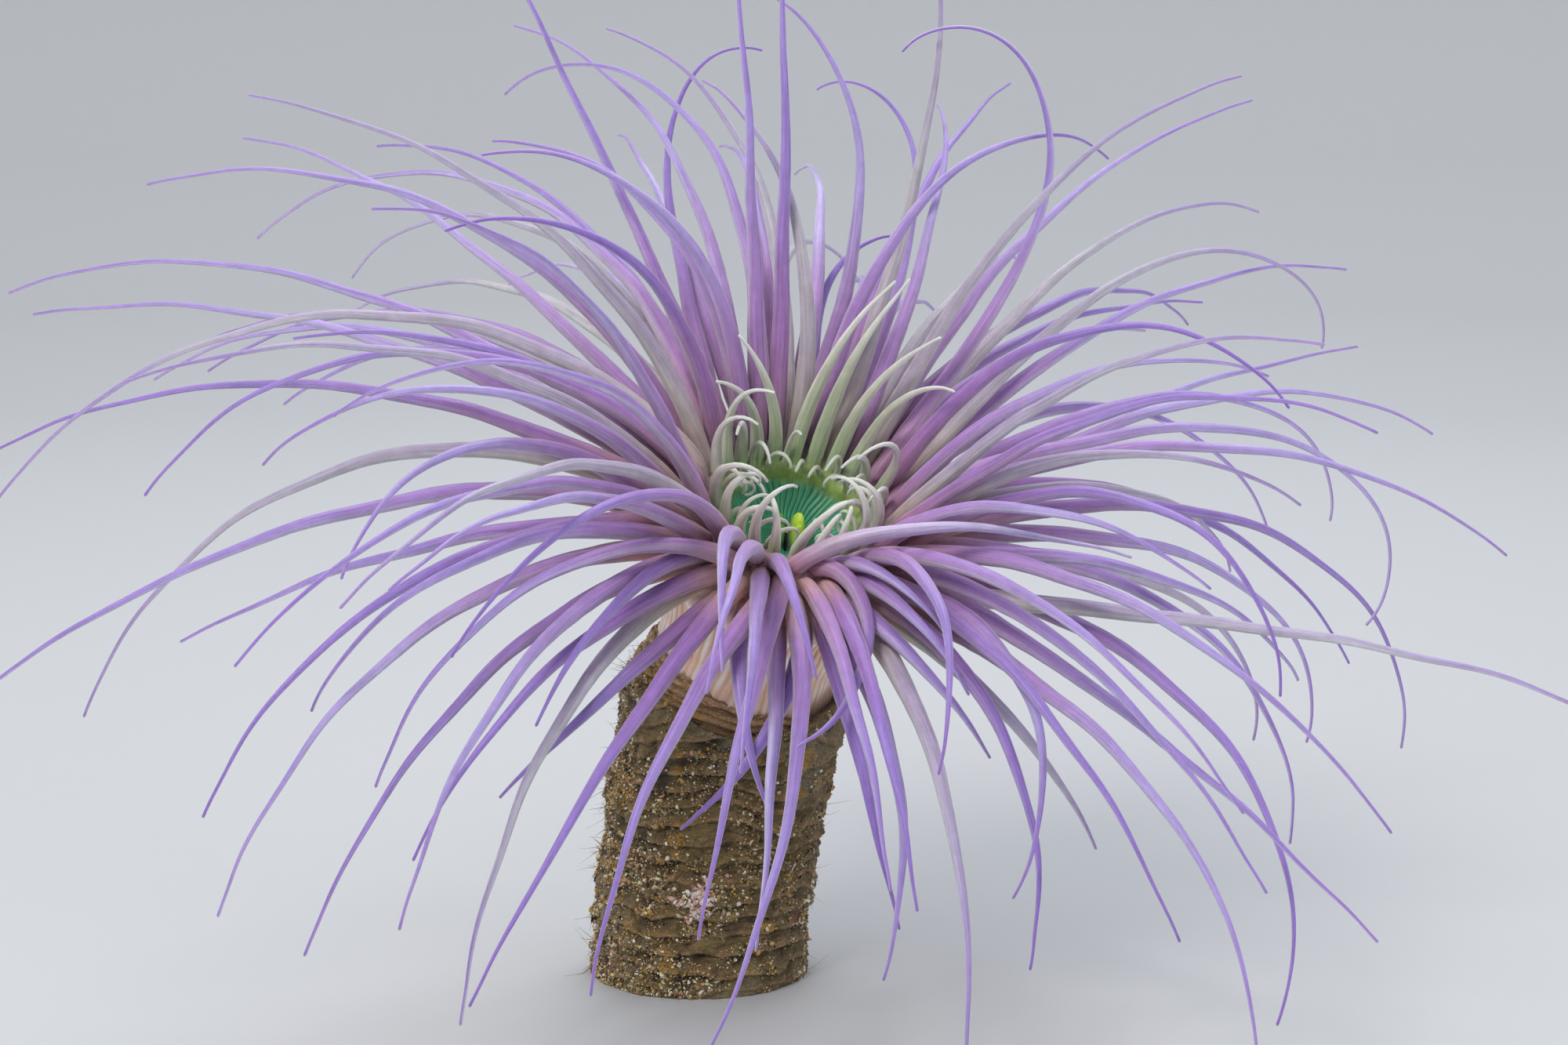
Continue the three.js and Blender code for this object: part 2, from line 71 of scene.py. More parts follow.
LABIAL_ROW, HOOK_ROW = -1, -2
TIP_RADIUS, TAPER, HELD = 0.27, 1.45, 6.0
NECK_PINCH, NECK_LENGTH = 0.3, 3.5
FLOOR_CLEARANCE, BODY_GAP, NEAR_GAP, FAR_GAP = 5.0, 0.4, 0.3, 1.1
ROOT_LENGTH, FAR_FROM_ROOT = 5, 40

# Each long tentacle: its row, its place around the crown, the headings it starts and ends with as
# seen from the front, how late it turns, how far it points away at its start and tip, its length.
LONG = (
    (1, 132, 114, 118, 1.0, 25, 10, 122),
    (2, 106, 92, 225, 2.5, 40, 15, 117),
    (3, 112, 97, 167, 2.0, 45, 20, 114),
    (3, 122, 106, -20, 4.6, 45, 25, 110),
    (2, 94, 88, 165, 2.0, 42, 15, 104),
    (2, 80, 71, 172, 2.6, 38, 10, 110),
    (3, 72, 68, 216, 4.4, 45, 20, 100),
    (1, 62, 70, 101, 2.3, 20, 0, 112),
    (4, 88, 84, -8, 4.0, 60, 20, 60),
    (1, 35, 52, 232, 3.4, 20, 0, 118),
    (2, 46, 57, 14, 1.6, 35, 20, 120),
    (4, 56, 60, -6, 0.8, 45, 30, 98),
    (2, 28, 44, -100, 3.6, 20, 5, 114),
    (3, 20, 20, 6, 1.5, 30, 25, 108),
    (2, 14, 24, -100, 3.0, 15, 10, 106),
    (1, 8, 16, -132, 3.2, 5, 0, 124),
    (3, 2, 10, -98, 2.0, 5, 0, 124),
    (4, -30, 0, -32, 3.0, -35, -10, 142),
    (4, 0, 2, -108, 2.5, 0, -5, 96),
    (3, -8, 0, -100, 1.7, -15, -15, 100),
    (4, -10, -2, -105, 2.6, 10, -10, 82),
    (4, -22, -10, -116, 1.7, -35, -28, 122),
    (3, -34, -20, -46, 1.0, -45, -25, 115),
    (4, -44, -20, -95, 1.7, -50, -30, 122),
    (3, -54, -8, -103, 0.8, -45, -15, 84),
    (4, -66, -20, -98, 0.45, -58, -28, 102),
    (4, -76, -38, -108, 0.8, -58, -15, 74),
    (3, -86, -45, -117, 0.35, -65, -15, 96),
    (2, -98, -112, -100, 1.0, -70, -10, 78),
    (3, -110, -150, -118, 0.4, -50, -25, 98),
    (2, 160, 150, 203, 2.2, 10, 0, 138),
    (3, 166, 151, 190, 1.5, 10, 5, 128),
    (3, 176, 152, 208, 1.3, 0, 0, 130),
    (1, 168, 127, 236, 1.0, -5, -10, 152),
    (1, 180, 130, 236, 1.2, -12, -15, 118),
    (2, 140, 106, 224, 1.3, 25, 5, 132),
    (3, 145, 138, 174, 3.0, 30, 10, 114),
    (2, 132, 121, 188, 2.0, 30, 15, 112),
    (3, 134, 114, 236, 1.7, 35, 15, 118),
    (4, 160, 140, 214, 1.4, 30, 10, 116),
    (4, 186, 146, 218, 0.5, -15, -20, 140),
    (4, 178, 150, 250, 1.0, -5, -10, 126),
    (3, 206, 170, 248, 1.1, -35, -20, 110),
    (4, 196, 166, 208, 0.7, -20, -10, 90),
    (2, 238, 118, 252, 0.6, -40, -10, 92),
    (3, 232, 180, 246, 0.8, -50, -10, 84),
    (3, 256, 214, 262, 0.8, -60, -10, 88),
    (1, 281, 112, -168, 0.38, -5, -32, 56),
    (1, 270, 88, -18, 0.28, -12, 5, 66),
)


# ---- small sums that everything uses ----
def mix(a, b, t):
    return a + (b - a) * t


def ease(low, high, x):
    """Rises smoothly from 0 at low to 1 at high."""
    t = np.clip((x - low) / (high - low), 0, 1)
    return t * t * (3 - 2 * t)


def hump(x, width):
    """1 where x is 0, falling smoothly away within about twice a width."""
    return np.exp(-((x / width) ** 2))


def stack(*parts):
    """Arrays and numbers side by side along a new last axis, such as points from coordinates."""
    return np.stack(np.broadcast_arrays(*parts), axis=-1)


def unit(v):
    return v / np.linalg.norm(v)


def units(v):
    """Each of an array's vectors with a length of 1."""
    return v / np.linalg.norm(v, axis=-1, keepdims=True)


def circle(count):
    return 2 * math.pi * np.arange(count) / count


def ring(angle, radius, z):
    """Points round the z axis."""
    return stack(np.cos(angle) * radius, np.sin(angle) * radius, z)


def turned(angle, x, y):
    """Directions at angles from x towards y."""
    return np.cos(angle)[..., None] * x + np.sin(angle)[..., None] * y


# ---- the crown's own frame ----
CENTRE = np.array([CROWN_RIGHT, -CROWN_FORWARD, CROWN_HEIGHT])
LEANS = math.tan(math.radians(LEAN_RIGHT)), -math.tan(math.radians(LEAN_FORWARD))
AXIS = unit(np.array([*LEANS, 1.0]))
ACROSS = unit(np.array([1.0, 0.0, 0.0]) - AXIS[0] * AXIS)
BACK = np.cross(AXIS, ACROSS)
PLACE = np.array([ACROSS, BACK, AXIS])


def outward(angle):
    a = math.radians(angle)
    return math.cos(a) * ACROSS + math.sin(a) * BACK


def crown_point(radius, angle, height):
    return CENTRE + radius * outward(angle) + height * AXIS


def frontness(angle):
    """How far an angle round the crown faces the front, from 0 to 1."""
    return max(0.0, -math.sin(math.radians(angle)))


def backness(angle):
    return max(0.0, math.sin(math.radians(angle)))


def rim_top(radius):
    return RIM_LIFT - RIM_FALL * (radius - ROW_RADIUS[0]) ** 2


def bowl(r):
    return -BOWL_DEPTH + (BOWL_DEPTH - BOWL_EDGE) * (r / DISC_RADIUS) ** 2.2


def spine(z):
    """The middle line of the tube and column at a height, or at each of several heights."""
    z = np.asarray(z, dtype=float)
    share = np.maximum(z, 0.0) / CROWN_HEIGHT
    return stack(CROWN_RIGHT * share**1.8, -CROWN_FORWARD * share**2.5, z)


def spine_axis(z):
    return unit(spine(z + 0.5) - spine(z - 0.5))


# ---- the way each tentacle lies ----
STEPS = 60
COARSE = slice(0, STEPS + 1, 6)


class Path:
    """A tentacle's middle line, and how thick the solid is along it."""

    def __init__(self, root, directions, length, base):
        steps = directions((np.arange(STEPS) + 0.5) / STEPS) * (length / STEPS)
        self.points = np.vstack([root, root + np.cumsum(steps, axis=0)])
        self.along = length * np.arange(STEPS + 1) / STEPS
        self.length, self.base = length, base
        self.radii = thickness(base, self.along, length)


def thickness(base, s, length):
    taper = np.maximum(0.0, 1 - s / length) ** TAPER
    return (TIP_RADIUS + (base - TIP_RADIUS) * taper) * (1 - NECK_PINCH * np.exp(-s / NECK_LENGTH))


def outside(p):
    """About how far each point is outside the crown, the column and the tube."""
    local = (p - CENTRE) @ PLACE.T
    r = np.hypot(local[:, 0], local[:, 1])
    height = local[:, 2]
    edge = np.hypot(r - CROWN_RADIUS, np.maximum(0, height - rim_top(CROWN_RADIUS)))
    on_disc, on_rim = height - bowl(np.minimum(r, DISC_RADIUS)), height - rim_top(r)
    above = np.where(r <= DISC_RADIUS, on_disc, np.where(r <= CROWN_RADIUS, on_rim, edge))
    level = spine(np.minimum(p[:, 2], TUBE_HEIGHT))
    from_spine = np.hypot(p[:, 0] - level[:, 0], p[:, 1] - level[:, 1])
    beside_tube = from_spine - TUBE_RIM_RADIUS - FOLD_HEIGHT
    flared = np.minimum(1, (-height - CROWN_DEPTH) / FLARE_DEPTH)
    beside_column = r - mix(CROWN_RADIUS, COLUMN_RADIUS, flared)
    below = np.where(p[:, 2] < TUBE_HEIGHT, beside_tube, beside_column)
    return np.where(height > -CROWN_DEPTH, above, below)


def neighbours(path, others, spare):
    """Those of the others that may come near, judged by a few points of each."""
    if not others:
        return []
    coarse = np.stack([other.points[COARSE] for other in others])
    gaps = path.points[COARSE][None, :, None, :] - coarse[:, None, :, :]
    nearest = (gaps**2).sum(axis=3).min(axis=(1, 2))
    reach = [3 * (path.length + other.length) / STEPS + spare for other in others]
    return [other for other, squared, far in zip(others, nearest, reach) if squared < far * far]


def pair_room(path, other):
    """The least room between two tentacles, which keep a wider gap far from their roots."""
    near = np.minimum(path.along[1:, None], other.along[None, 1:]) / FAR_FROM_ROOT
    gap = mix(NEAR_GAP, FAR_GAP, np.minimum(1, near))
    need = path.radii[1:, None] + other.radii[None, 1:] + gap
    apart = path.points[1:, None, :] - other.points[None, 1:, :]
    return float((np.sqrt((apart**2).sum(axis=2)) - need).min())


def room(path, others):
    """The least room between a tentacle and the body, the floor and the others."""
    far = path.along > ROOT_LENGTH
    far[:3] = False
    least = float((outside(path.points[far]) - path.radii[far] - BODY_GAP).min())
    least = min(least, float(path.points[3:, 2].min()) - FLOOR_CLEARANCE)
    for other in neighbours(path, others, 2 * ROW_BASE + FAR_GAP):
        least = min(least, pair_room(path, other))
    return least


def roomiest(others, ways, attempts, best=None):
    """The first of several ways to lie that has room, or else the one with the most."""
    for attempt in range(attempts):
        path = ways(attempt)
        path.room = room(path, others)
        if best is None or path.room > best.room:
            best = path
        if best.room >= 0:
            break
    return best


class Crowd:
    """The tentacles that have settled so far, each kept clear of the others."""

    def __init__(self):
        self.paths = []

    def settle(self, ways, attempts, row, slot, angle):
        path = roomiest(self.paths, ways, attempts)
        path.again = ways, attempts
        path.row, path.slot, path.angle = row, slot, angle
        self.paths.append(path)

    def loosen(self):
        """Lets each crowded tentacle try again now that all the others have settled."""
        for i, path in enumerate(self.paths):
            if path.room < 0:
                ways, attempts = path.again
                others = self.paths[:i] + self.paths[i + 1 :]
                moved = roomiest(others, ways, 2 * attempts, path)
                moved.row, moved.slot, moved.angle = path.row, path.slot, path.angle
                self.paths[i] = moved


def slot_angle(row, slot):
    return (slot + ROW_OFFSET[row]) * 360 / SLOTS


def leaning(angle, lean):
    return math.cos(math.radians(lean)) * AXIS + math.sin(math.radians(lean)) * outward(angle)


def row_lean(row, angle):
    return mix(ROW_LEAN[row], ROW_FRONT_LEAN[row], frontness(angle) ** 1.5)


SWINGS = (0, 5, -5, 10, -10, 15, -15, 20, -20, 26, -26, 33, -33)


def long_tentacle(crowd, line):
    row_number, around, starts, ends, late, away, away_tip, length = line
    row = row_number - 1
    slot = math.floor(around * SLOTS / 360 - ROW_OFFSET[row] + 0.5) % SLOTS
    angle = slot_angle(row, slot)
    root = crown_point(ROW_RADIUS[row], angle, rim_top(ROW_RADIUS[row]))
    rise = leaning(angle, row_lean(row, angle))

    def ways(attempt):
        swing = SWINGS[attempt % len(SWINGS)]
        shorter = length * (1 - 0.06 * (attempt // len(SWINGS)))

        def directions(t):
            turn = np.radians(mix(starts, ends, t**late))
            depth = np.radians(mix(away, away_tip, t) + swing)
            heads = stack(np.cos(depth) * np.cos(turn), np.sin(depth), np.cos(depth) * np.sin(turn))
            return units(mix(heads, rise, hump(t * shorter, HELD)[:, None]))

        return Path(root, directions, shorter, ROW_BASE)

    crowd.settle(ways, 3 * len(SWINGS), row, slot, angle)


def scatter(n, attempt, count):
    """Numbers from 0 to 1 that spread evenly over tentacles, attempts and uses."""
    first = n * 0.61803398875
    return [(first + use * 0.7548776662 + attempt * 0.569840291) % 1 for use in range(1, count + 1)]


def droop(angle, lean, sideways, bend, late, outwards=0.55):
    """Directions that start at a lean from the crown's axis and droop outwards, or inwards."""
    out = outward(angle)
    start = leaning(angle, lean)
    pull = outwards * out + sideways * np.cross(AXIS, out) + np.array([0, 0, -0.75])
    pull = unit(pull - pull.dot(start) * start)
    return lambda t: turned(np.radians(bend) * t**late, start, pull)


def drooping(crowd, row, slot, angle, root, base, attempts, shrink, shape):
    """Settles a tentacle whose shape gives the droop's values and the length for each attempt."""

    def ways(attempt):
        *values, longest = shape(attempt)
        return Path(root, droop(*values), longest * max(0.6, 1 - shrink * attempt), base)

    crowd.settle(ways, attempts, row, slot, angle)


def short_tentacle(crowd, row, slot):
    angle = slot_angle(row, slot)
    root = crown_point(ROW_RADIUS[row], angle, rim_top(ROW_RADIUS[row]))
    front = frontness(angle)

    def shape(attempt):
        turn, lean, side, bend, late, size = scatter(row * SLOTS + slot + 1, attempt, 6)
        loose = 14 + 0.12 * attempt
        return (
            angle + loose * (turn - 0.5),
            row_lean(row, angle) + loose * (lean - 0.5),
            1.4 * (side - 0.5),
            45 + 75 * bend,
            mix(0.9 + 1.4 * late, 0.55 + 0.6 * late, front**1.5),
            0.55,
            mix(78 + 46 * size, 36 + 46 * size, front**3),
        )

    drooping(crowd, row, slot, angle, root, ROW_BASE, 100, 0.004, shape)


def labial_tentacle(crowd, slot):
    angle = slot * 360 / LABIAL_SLOTS
    root = crown_point(LABIAL_RADIUS, angle, rim_top(LABIAL_RADIUS))
    back = backness(angle) ** 1.5

    def shape(attempt):
        lean, side, bend, late, size = scatter(slot + 500, attempt, 5)
        return (
            angle,
            mix(17, 12, back) + 14 * (lean - 0.5),
            side - 0.5,
            mix(140 + 90 * bend, 20 + 30 * bend, back),
            mix(2.1 + 1.2 * late, 0.8 + 0.6 * late, back),
            mix(-0.9, 0.5, back),
            mix(14 + 11 * size, 26 + 30 * size, back),
        )

    drooping(crowd, LABIAL_ROW, slot, angle, root, LABIAL_BASE, 80, 0.006, shape)


def small_hook(crowd, slot):
    """A thin inner tentacle between two larger ones, too fine for the solids."""
    angle = (slot + 0.5) * 360 / LABIAL_SLOTS
    root = crown_point(HOOK_RADIUS, angle, -0.5)
    back = backness(angle) ** 1.5

    def shape(attempt):
        lean, side, bend, late, size = scatter(slot + 900, attempt, 5)
        return (
            angle,
            mix(6, 2, back) + 20 * (lean - 0.5),
            1.4 * (side - 0.5),
            mix(170 + 120 * bend, 60 + 130 * bend, back),
            1.5 + 1.2 * late,
            -0.9,
            mix(9 + 10 * size, 8 + 8 * size, back) * (1 - 0.4 * frontness(angle) ** 3),
        )

    if frontness(angle) < 0.95:  # the photograph shows the mouth between the foremost two
        drooping(crowd, HOOK_ROW, slot, angle, root, HOOK_BASE, 60, 0.006, shape)


def grow_tentacles():
    """Every tentacle, settled as the solids are, and then the hooks that only the look has."""
    crowd = Crowd()
    for line in LONG:
        long_tentacle(crowd, line)
    taken = {(path.row, path.slot) for path in crowd.paths}
    for row in range(len(ROW_RADIUS)):
        for slot in range(SLOTS):
            if (row, slot) not in taken:
                short_tentacle(crowd, row, slot)
    for slot in range(LABIAL_SLOTS):
        labial_tentacle(crowd, slot)
    crowd.loosen()
    for slot in range(LABIAL_SLOTS):
        small_hook(crowd, slot)
    return crowd.paths


# ---- noise, curves and meshes ----
def srgb(*channels):
    """A colour as it is seen, 0 to 255, as the linear values that meshes and shaders hold."""
    c = np.array(channels) / 255
    return np.where(c <= 0.04045, c / 12.92, ((c + 0.055) / 1.055) ** 2.4)


def blend(a, b, t):
    """Mixes two colours, or two arrays of them, by a share for each point."""
    return a + (b - a) * np.clip(t, 0, 1)[..., None]


def layered(colour, *layers):
    """A colour with others blended over it one by one, each by its share."""
    for over, share in layers:
        colour = blend(colour, over, share)
    return colour


PRIMES = 374761393, 668265263, 1440662683, 1274126177


def lattice(cell, seed):
    """A number from 0 to 1 for each cell of space, which looks random and is always the same."""
    n = sum(cell[..., i] * PRIMES[i] for i in range(3)) + seed * PRIMES[3]
    n = ((n ^ (n >> 13)) & 0x7FFFFFFF) * 1103515245 & 0x7FFFFFFF
    return ((n ^ (n >> 16)) & 0xFFFFF) / 0xFFFFF


def noise3(points, seed=0):
    """Smooth noise from -1 to 1, about one swing to the unit."""
    cell = np.floor(points).astype(np.int64)
    part = points - cell
    part = part * part * (3 - 2 * part)
    total = 0
    for corner in np.ndindex(2, 2, 2):
        weight = np.prod(np.where(np.array(corner) == 1, part, 1 - part), axis=-1)
        total = total + weight * lattice(cell + np.array(corner), seed)
    return 2 * total - 1


def rough(points, seed=0, octaves=3):
    layers = sum(noise3(points * 2**k, seed + k) / 2**k for k in range(octaves))
    return layers / (2 - 2 ** (1 - octaves))


def smooth_through(x, y, at):
    """A smooth curve through given points, with a cubic between each two."""
    slope = np.gradient(y, x)
    i = np.clip(np.searchsorted(x, at, side="right") - 1, 0, len(x) - 2)
    width = x[i + 1] - x[i]
    t = (at - x[i]) / width
    return (
        y[i] * (1 + 2 * t) * (1 - t) ** 2
        + slope[i] * width * t * (1 - t) ** 2
        + y[i + 1] * t * t * (3 - 2 * t)
        + slope[i + 1] * width * t * t * (t - 1)
    )


def lengths(points):
    """How far along a line each of its points is."""
    steps = np.linalg.norm(np.diff(points, axis=0), axis=1)
    return np.concatenate([[0], np.cumsum(steps)])


def new_mesh(name, vertices, blocks, uv=None):
    """A mesh from vertices in millimetres and blocks of faces, each with one count of sides."""
    mesh = bpy.data.meshes.new(name)
    mesh.vertices.add(len(vertices))
    mesh.vertices.foreach_set("co", (vertices * MM).astype(np.float32).ravel())
    corners = np.concatenate([block.ravel() for block in blocks])
    sides = np.concatenate([np.full(len(block), block.shape[1]) for block in blocks])
    mesh.loops.add(len(corners))
    mesh.loops.foreach_set("vertex_index", corners.astype(np.int32))
    mesh.polygons.add(len(sides))
    mesh.polygons.foreach_set("loop_start", (np.cumsum(sides) - sides).astype(np.int32))
    mesh.update(calc_edges=True)
    if uv is not None:
        layer = mesh.uv_layers.new(name="OFBake")
        layer.uv.foreach_set("vector", uv.astype(np.float32).ravel())
    return mesh


def new_object(data):
    """An object with the name of its mesh, light or camera."""
    made = bpy.data.objects.new(data.name, data)
    bpy.context.scene.collection.objects.link(made)
    return made


def make_smooth(mesh):
    mesh.polygons.foreach_set("use_smooth", np.ones(len(mesh.polygons), bool))


def grid(rings, around, start=0):
    """Quads between following rings of a tube, and where their corners are: (ring, column)."""
    row, column = np.meshgrid(np.arange(rings - 1), np.arange(around), indexing="ij")
    steps = ((0, 0), (0, 1), (1, 1), (1, 0))
    quads = stack(*((row + i) * around + (column + j) % around for i, j in steps))
    places = np.stack([stack(row + i, column + j) for i, j in steps], axis=2)
    return quads.reshape(-1, 4) + start, places.reshape(-1, 4, 2)


def fan(centre, ring_start, around, turned):
    """Triangles that close the end of a tube, and the columns of their corners."""
    j = np.arange(around)
    k = (j + 1) % around
    ends = (k, j) if turned else (j, k)
    triangles = stack(centre, ring_start + ends[0], ring_start + ends[1])
    return triangles, stack(j + 0.5, j + int(turned), j + int(not turned))


def paint(mesh, colours, streaked=1.0):
    """Stores a linear colour for each vertex, and in its alpha how much of the streaks it shows."""
    layer = mesh.color_attributes.new("tint", "FLOAT_COLOR", "POINT")
    rgba = np.ones((len(colours), 4), np.float32)
    rgba[:, 3] = streaked
    rgba[:, :3] = np.clip(colours, 0, 1)
    layer.data.foreach_set("color", rgba.ravel())


def read(items, value, width, kind):
    """A value of each of a mesh's items, as rows of an array."""
    values = np.empty(len(items) * width, kind)
    items.foreach_get(value, values)
    return values.reshape(-1, width)


def vertex_array(mesh):
    return read(mesh.vertices, "co", 3, np.float32).astype(float) / MM


# ---- the flesh: column, disc and mouth ----
AROUND = 512
FURROWS, PLEATS = 58, 72
COLUMN_FOOT, COLUMN_RINGS = 48.0, 76
# The column's radius at shares of the way from the tube's mouth to the crown's underside.
COLUMN_SWELL = ((0.25, 17.5), (0.5, 18.2), (0.72, 19.6), (0.88, 22.0), (1.0, 24.8))


def column_rings():
    """Centres, axes and radii of the column from its foot in the tube to the crown's underside."""
    top = crown_point(0, 0, -CROWN_DEPTH - 0.3)
    heels = [(spine(z), spine_axis(z), COLUMN_RADIUS) for z in (COLUMN_FOOT, 53.0, 58.0)]
    for t, radius in COLUMN_SWELL:
        heels.append((mix(spine(58.0), top, t), unit(mix(spine_axis(59.0), AXIS, t)), radius))
    rows = np.array([np.concatenate([centre, axis, [radius]]) for centre, axis, radius in heels])
    far = lengths(rows[:, :3])
    s = np.linspace(0, far[-1], COLUMN_RINGS)
    smooth = stack(*(smooth_through(far, column, s) for column in rows.T))
    return smooth[:, :3], units(smooth[:, 3:6]), smooth[:, 6]


def furrow_lines(r, angle):
    """1 in the bottom of each furrow that runs to the mouth, and 0 between them."""
    wander = angle + 0.02 * np.sin(3 * angle + r) + 0.012 * np.sin(11 * angle - 0.9 * r)
    return hump(np.sin(0.5 * FURROWS * wander), 0.30)


def lobe(x, y, half_width, half_length):
    inside = 1 - (x / half_width) ** 2 - (y / half_length) ** 2
    return np.sqrt(np.maximum(inside, 0)) * ease(0.0, 0.3, inside)


def lips(x, y):
    """The mouth's right and left lips, 1 along their crests and 0 outside them."""
    return lobe(x - 1.7, y + 0.3, 1.6, 4.9), lobe(x + 1.5, y - 0.2, 1.3, 4.2)


def net_holes(r, angle):
    """1 in the holes of the net between the inner tentacles, which shows most at the right."""
    wander = 0.25 * noise3(ring(angle, r, 0), 9)
    holes = np.abs(np.sin(2 * math.pi * (r + wander) / 2.2) * np.sin(30 * angle + 3 * wander))
    inner, outer = ease(12.3, 12.9, r), ease(15.6, 14.9, r)
    return ease(0.3, 0.8, holes) * inner * outer * ease(0.0, 0.7, np.cos(angle))


def disc_height(r, angle):
    """The height of the disc and rim over the crown's middle plane, with furrows and mouth."""
    smooth = mix(bowl(np.minimum(r, DISC_RADIUS)), rim_top(r), ease(11.6, 13.4, r))
    furrows = -0.34 * ease(0.8, 5.0, r) * (1 - ease(12.0, 14.0, r)) * furrow_lines(r, angle)
    x, y = r * np.cos(angle), r * np.sin(angle)
    right, left = lips(x, y)
    right = right * (5.3 + 0.35 * np.sin(4.2 * y + 1.5 * x) - 0.25 * y)
    left = left * (3.6 + 0.3 * np.sin(4.6 * y - x))
    slit = -1.8 * hump(x, 0.35) * ease(4.4, 2.6, np.abs(y))
    swell = 0.8 * np.exp(-((r / 4.6) ** 4))
    bumps = 0.12 * noise3(stack(x, y, 0) * 0.9, 7) * ease(12, 14, r)
    return smooth + furrows + right + left + slit + swell + bumps - 0.7 * net_holes(r, angle)


def pleats(angle, share):
    """How far the column's skin stands out in upright pleats, strongest under the crown."""
    wander = angle + 0.04 * np.sin(2 * angle + 4 * share) + 0.012 * np.sin(7 * angle + 9 * share)
    folds = np.abs(np.sin(0.5 * PLEATS * wander)) ** 0.8
    broad = np.abs(np.sin(9 * wander + 1.5 * np.sin(3 * angle)))
    wrinkles = np.sin(30 * share + 2 * np.sin(5 * angle))
    strength = 0.35 + 0.65 * ease(0.3, 0.9, share)
    return strength * (0.95 * folds + 0.55 * broad - 1.1) + 0.08 * wrinkles


class Body:
    """The crown and column as rings round a bent axis, from the mouth's middle to the foot."""

    def __init__(self):
        self.angle = angle = circle(AROUND)
        bands = ((0.2, 6, 0.2), (6, 12.4, 0.32), (12.4, CROWN_RADIUS - 0.2, 0.36))
        radii = np.concatenate([np.arange(*band) for band in bands])
        direction = turned(angle, ACROSS, BACK)
        height = disc_height(radii[:, None], angle)
        top = CENTRE + radii[:, None, None] * direction + height[..., None] * AXIS
        lip = np.linspace(0, 1, 9)[:, None]
        lip_height = mix(rim_top(CROWN_RADIUS), -CROWN_DEPTH + 0.2, lip)
        lip_out = CROWN_RADIUS + 0.5 * np.sin(math.pi * lip) + 0.35 * pleats(angle, 1.0)
        edge = CENTRE + lip_out[..., None] * direction + lip_height[..., None] * AXIS
        centres, axes, column = column_rings()
        share = np.linspace(0, 1, len(column))
        x = units(ACROSS - (axes @ ACROSS)[:, None] * axes)
        y = np.cross(axes, x)
        stand = column[:, None] + pleats(angle, share[:, None])
        side = centres[:, None] + stand[..., None] * turned(angle[None], x[:, None], y[:, None])
        self.rings = np.concatenate([top, edge, side[::-1]])
        self.radius = np.concatenate([radii, np.full(len(lip), CROWN_RADIUS), column[::-1]])
        down = np.linalg.norm(np.diff(self.rings.mean(axis=1), axis=0), axis=1)
        steps = np.hypot(np.diff(self.radius), down)
        self.far = np.concatenate([[radii[0]], radii[0] + np.cumsum(steps)])
        self.on_top = len(radii)
        self.column_share = np.concatenate([np.ones(len(radii) + len(lip)), share[::-1]])
        self.column = lengths(centres), centres, x, y, column

    def mesh(self):
        rings, around, _ = self.rings.shape
        low, high = rings * around, rings * around + 1
        quads, _ = grid(rings, around)
        mouth, _ = fan(low, 0, around, turned=True)
        foot, _ = fan(high, (rings - 1) * around, around, turned=False)
        middles = self.rings[[0, -1]].mean(axis=1)
        far = np.concatenate([np.repeat(self.far, around), [0.0, self.far[-1] + 2]])
        turn = np.concatenate([np.tile(self.angle, rings), [0, 0]])
        flat = stack(np.cos(turn) * far, np.sin(turn) * far)
        uv = BODY_MIDDLE + flat * (BODY_REACH / self.far[-1])
        blocks = [block[:, ::-1] for block in (quads, mouth, foot)]
        corners = np.concatenate([block.ravel() for block in blocks])
        vertices = np.concatenate([self.rings.reshape(-1, 3), middles])
        return new_mesh("skin", vertices, blocks, uv[corners])


# Where the skin's parts lie on its flat map: the body round one middle, each tentacle in a strip.
BODY_MIDDLE, BODY_REACH = np.array([0.19, 0.19]), 0.185 * 0.97
STRIPS_IN_TIER, STRIP_FLOOR, TIER_RISE = 60, 0.40, 0.2
STRIP_MARGIN, STRIP_TALL, LONGEST, UNDER_ROOT = 0.001, 0.195, 160.0, 3
STRIP_WIDTH = 1 / STRIPS_IN_TIER - 2 * STRIP_MARGIN


def strip(index):
    """The lower left corner of a tentacle's strip on the map."""
    tier, place = divmod(index, STRIPS_IN_TIER)
    return np.array([place / STRIPS_IN_TIER + STRIP_MARGIN, STRIP_FLOOR + tier * TIER_RISE])


# ---- the flesh: tentacles ----
def along_path(path, s):
    """Points on a smooth line through a tentacle's steps, at distances from its root."""
    t = np.linspace(0, path.length, STEPS + 1)
    at = np.clip(s, 0, path.length)
    points = stack(*(smooth_through(t, column, at) for column in path.points.T))
    return points + np.minimum(s, 0)[:, None] * unit(path.points[1] - path.points[0])


def flesh_radius(path, s):
    """How thick the photograph's tentacle is where nothing crowds it."""
    if path.row >= 0:
        stout = (1.12, 1.16, 1.22, 1.24)[path.row]
        taper = mix(1.18, TAPER, float(ease(50, 112, path.length)))
    else:
        back = backness(path.angle)
        stout, taper = mix(1.3, 1.42, back), mix(1.5, 1.25, back)
    slender = np.maximum(0.0, 1 - np.maximum(s, 0) / path.length) ** taper
    return (TIP_RADIUS + (path.base * stout - TIP_RADIUS) * slender) * (1 - 0.12 * hump(s - 1, 5))


def with_middles(values):
    return np.concatenate([values, (values[1:] + values[:-1]) / 2])


def windows(values, width):
    """The value at each place and at those round it, each shift as a row."""
    padded = np.pad(values, 2, mode="edge")
    first = (5 - width) // 2
    return [padded[i : i + len(values)] for i in range(first, first + width)]


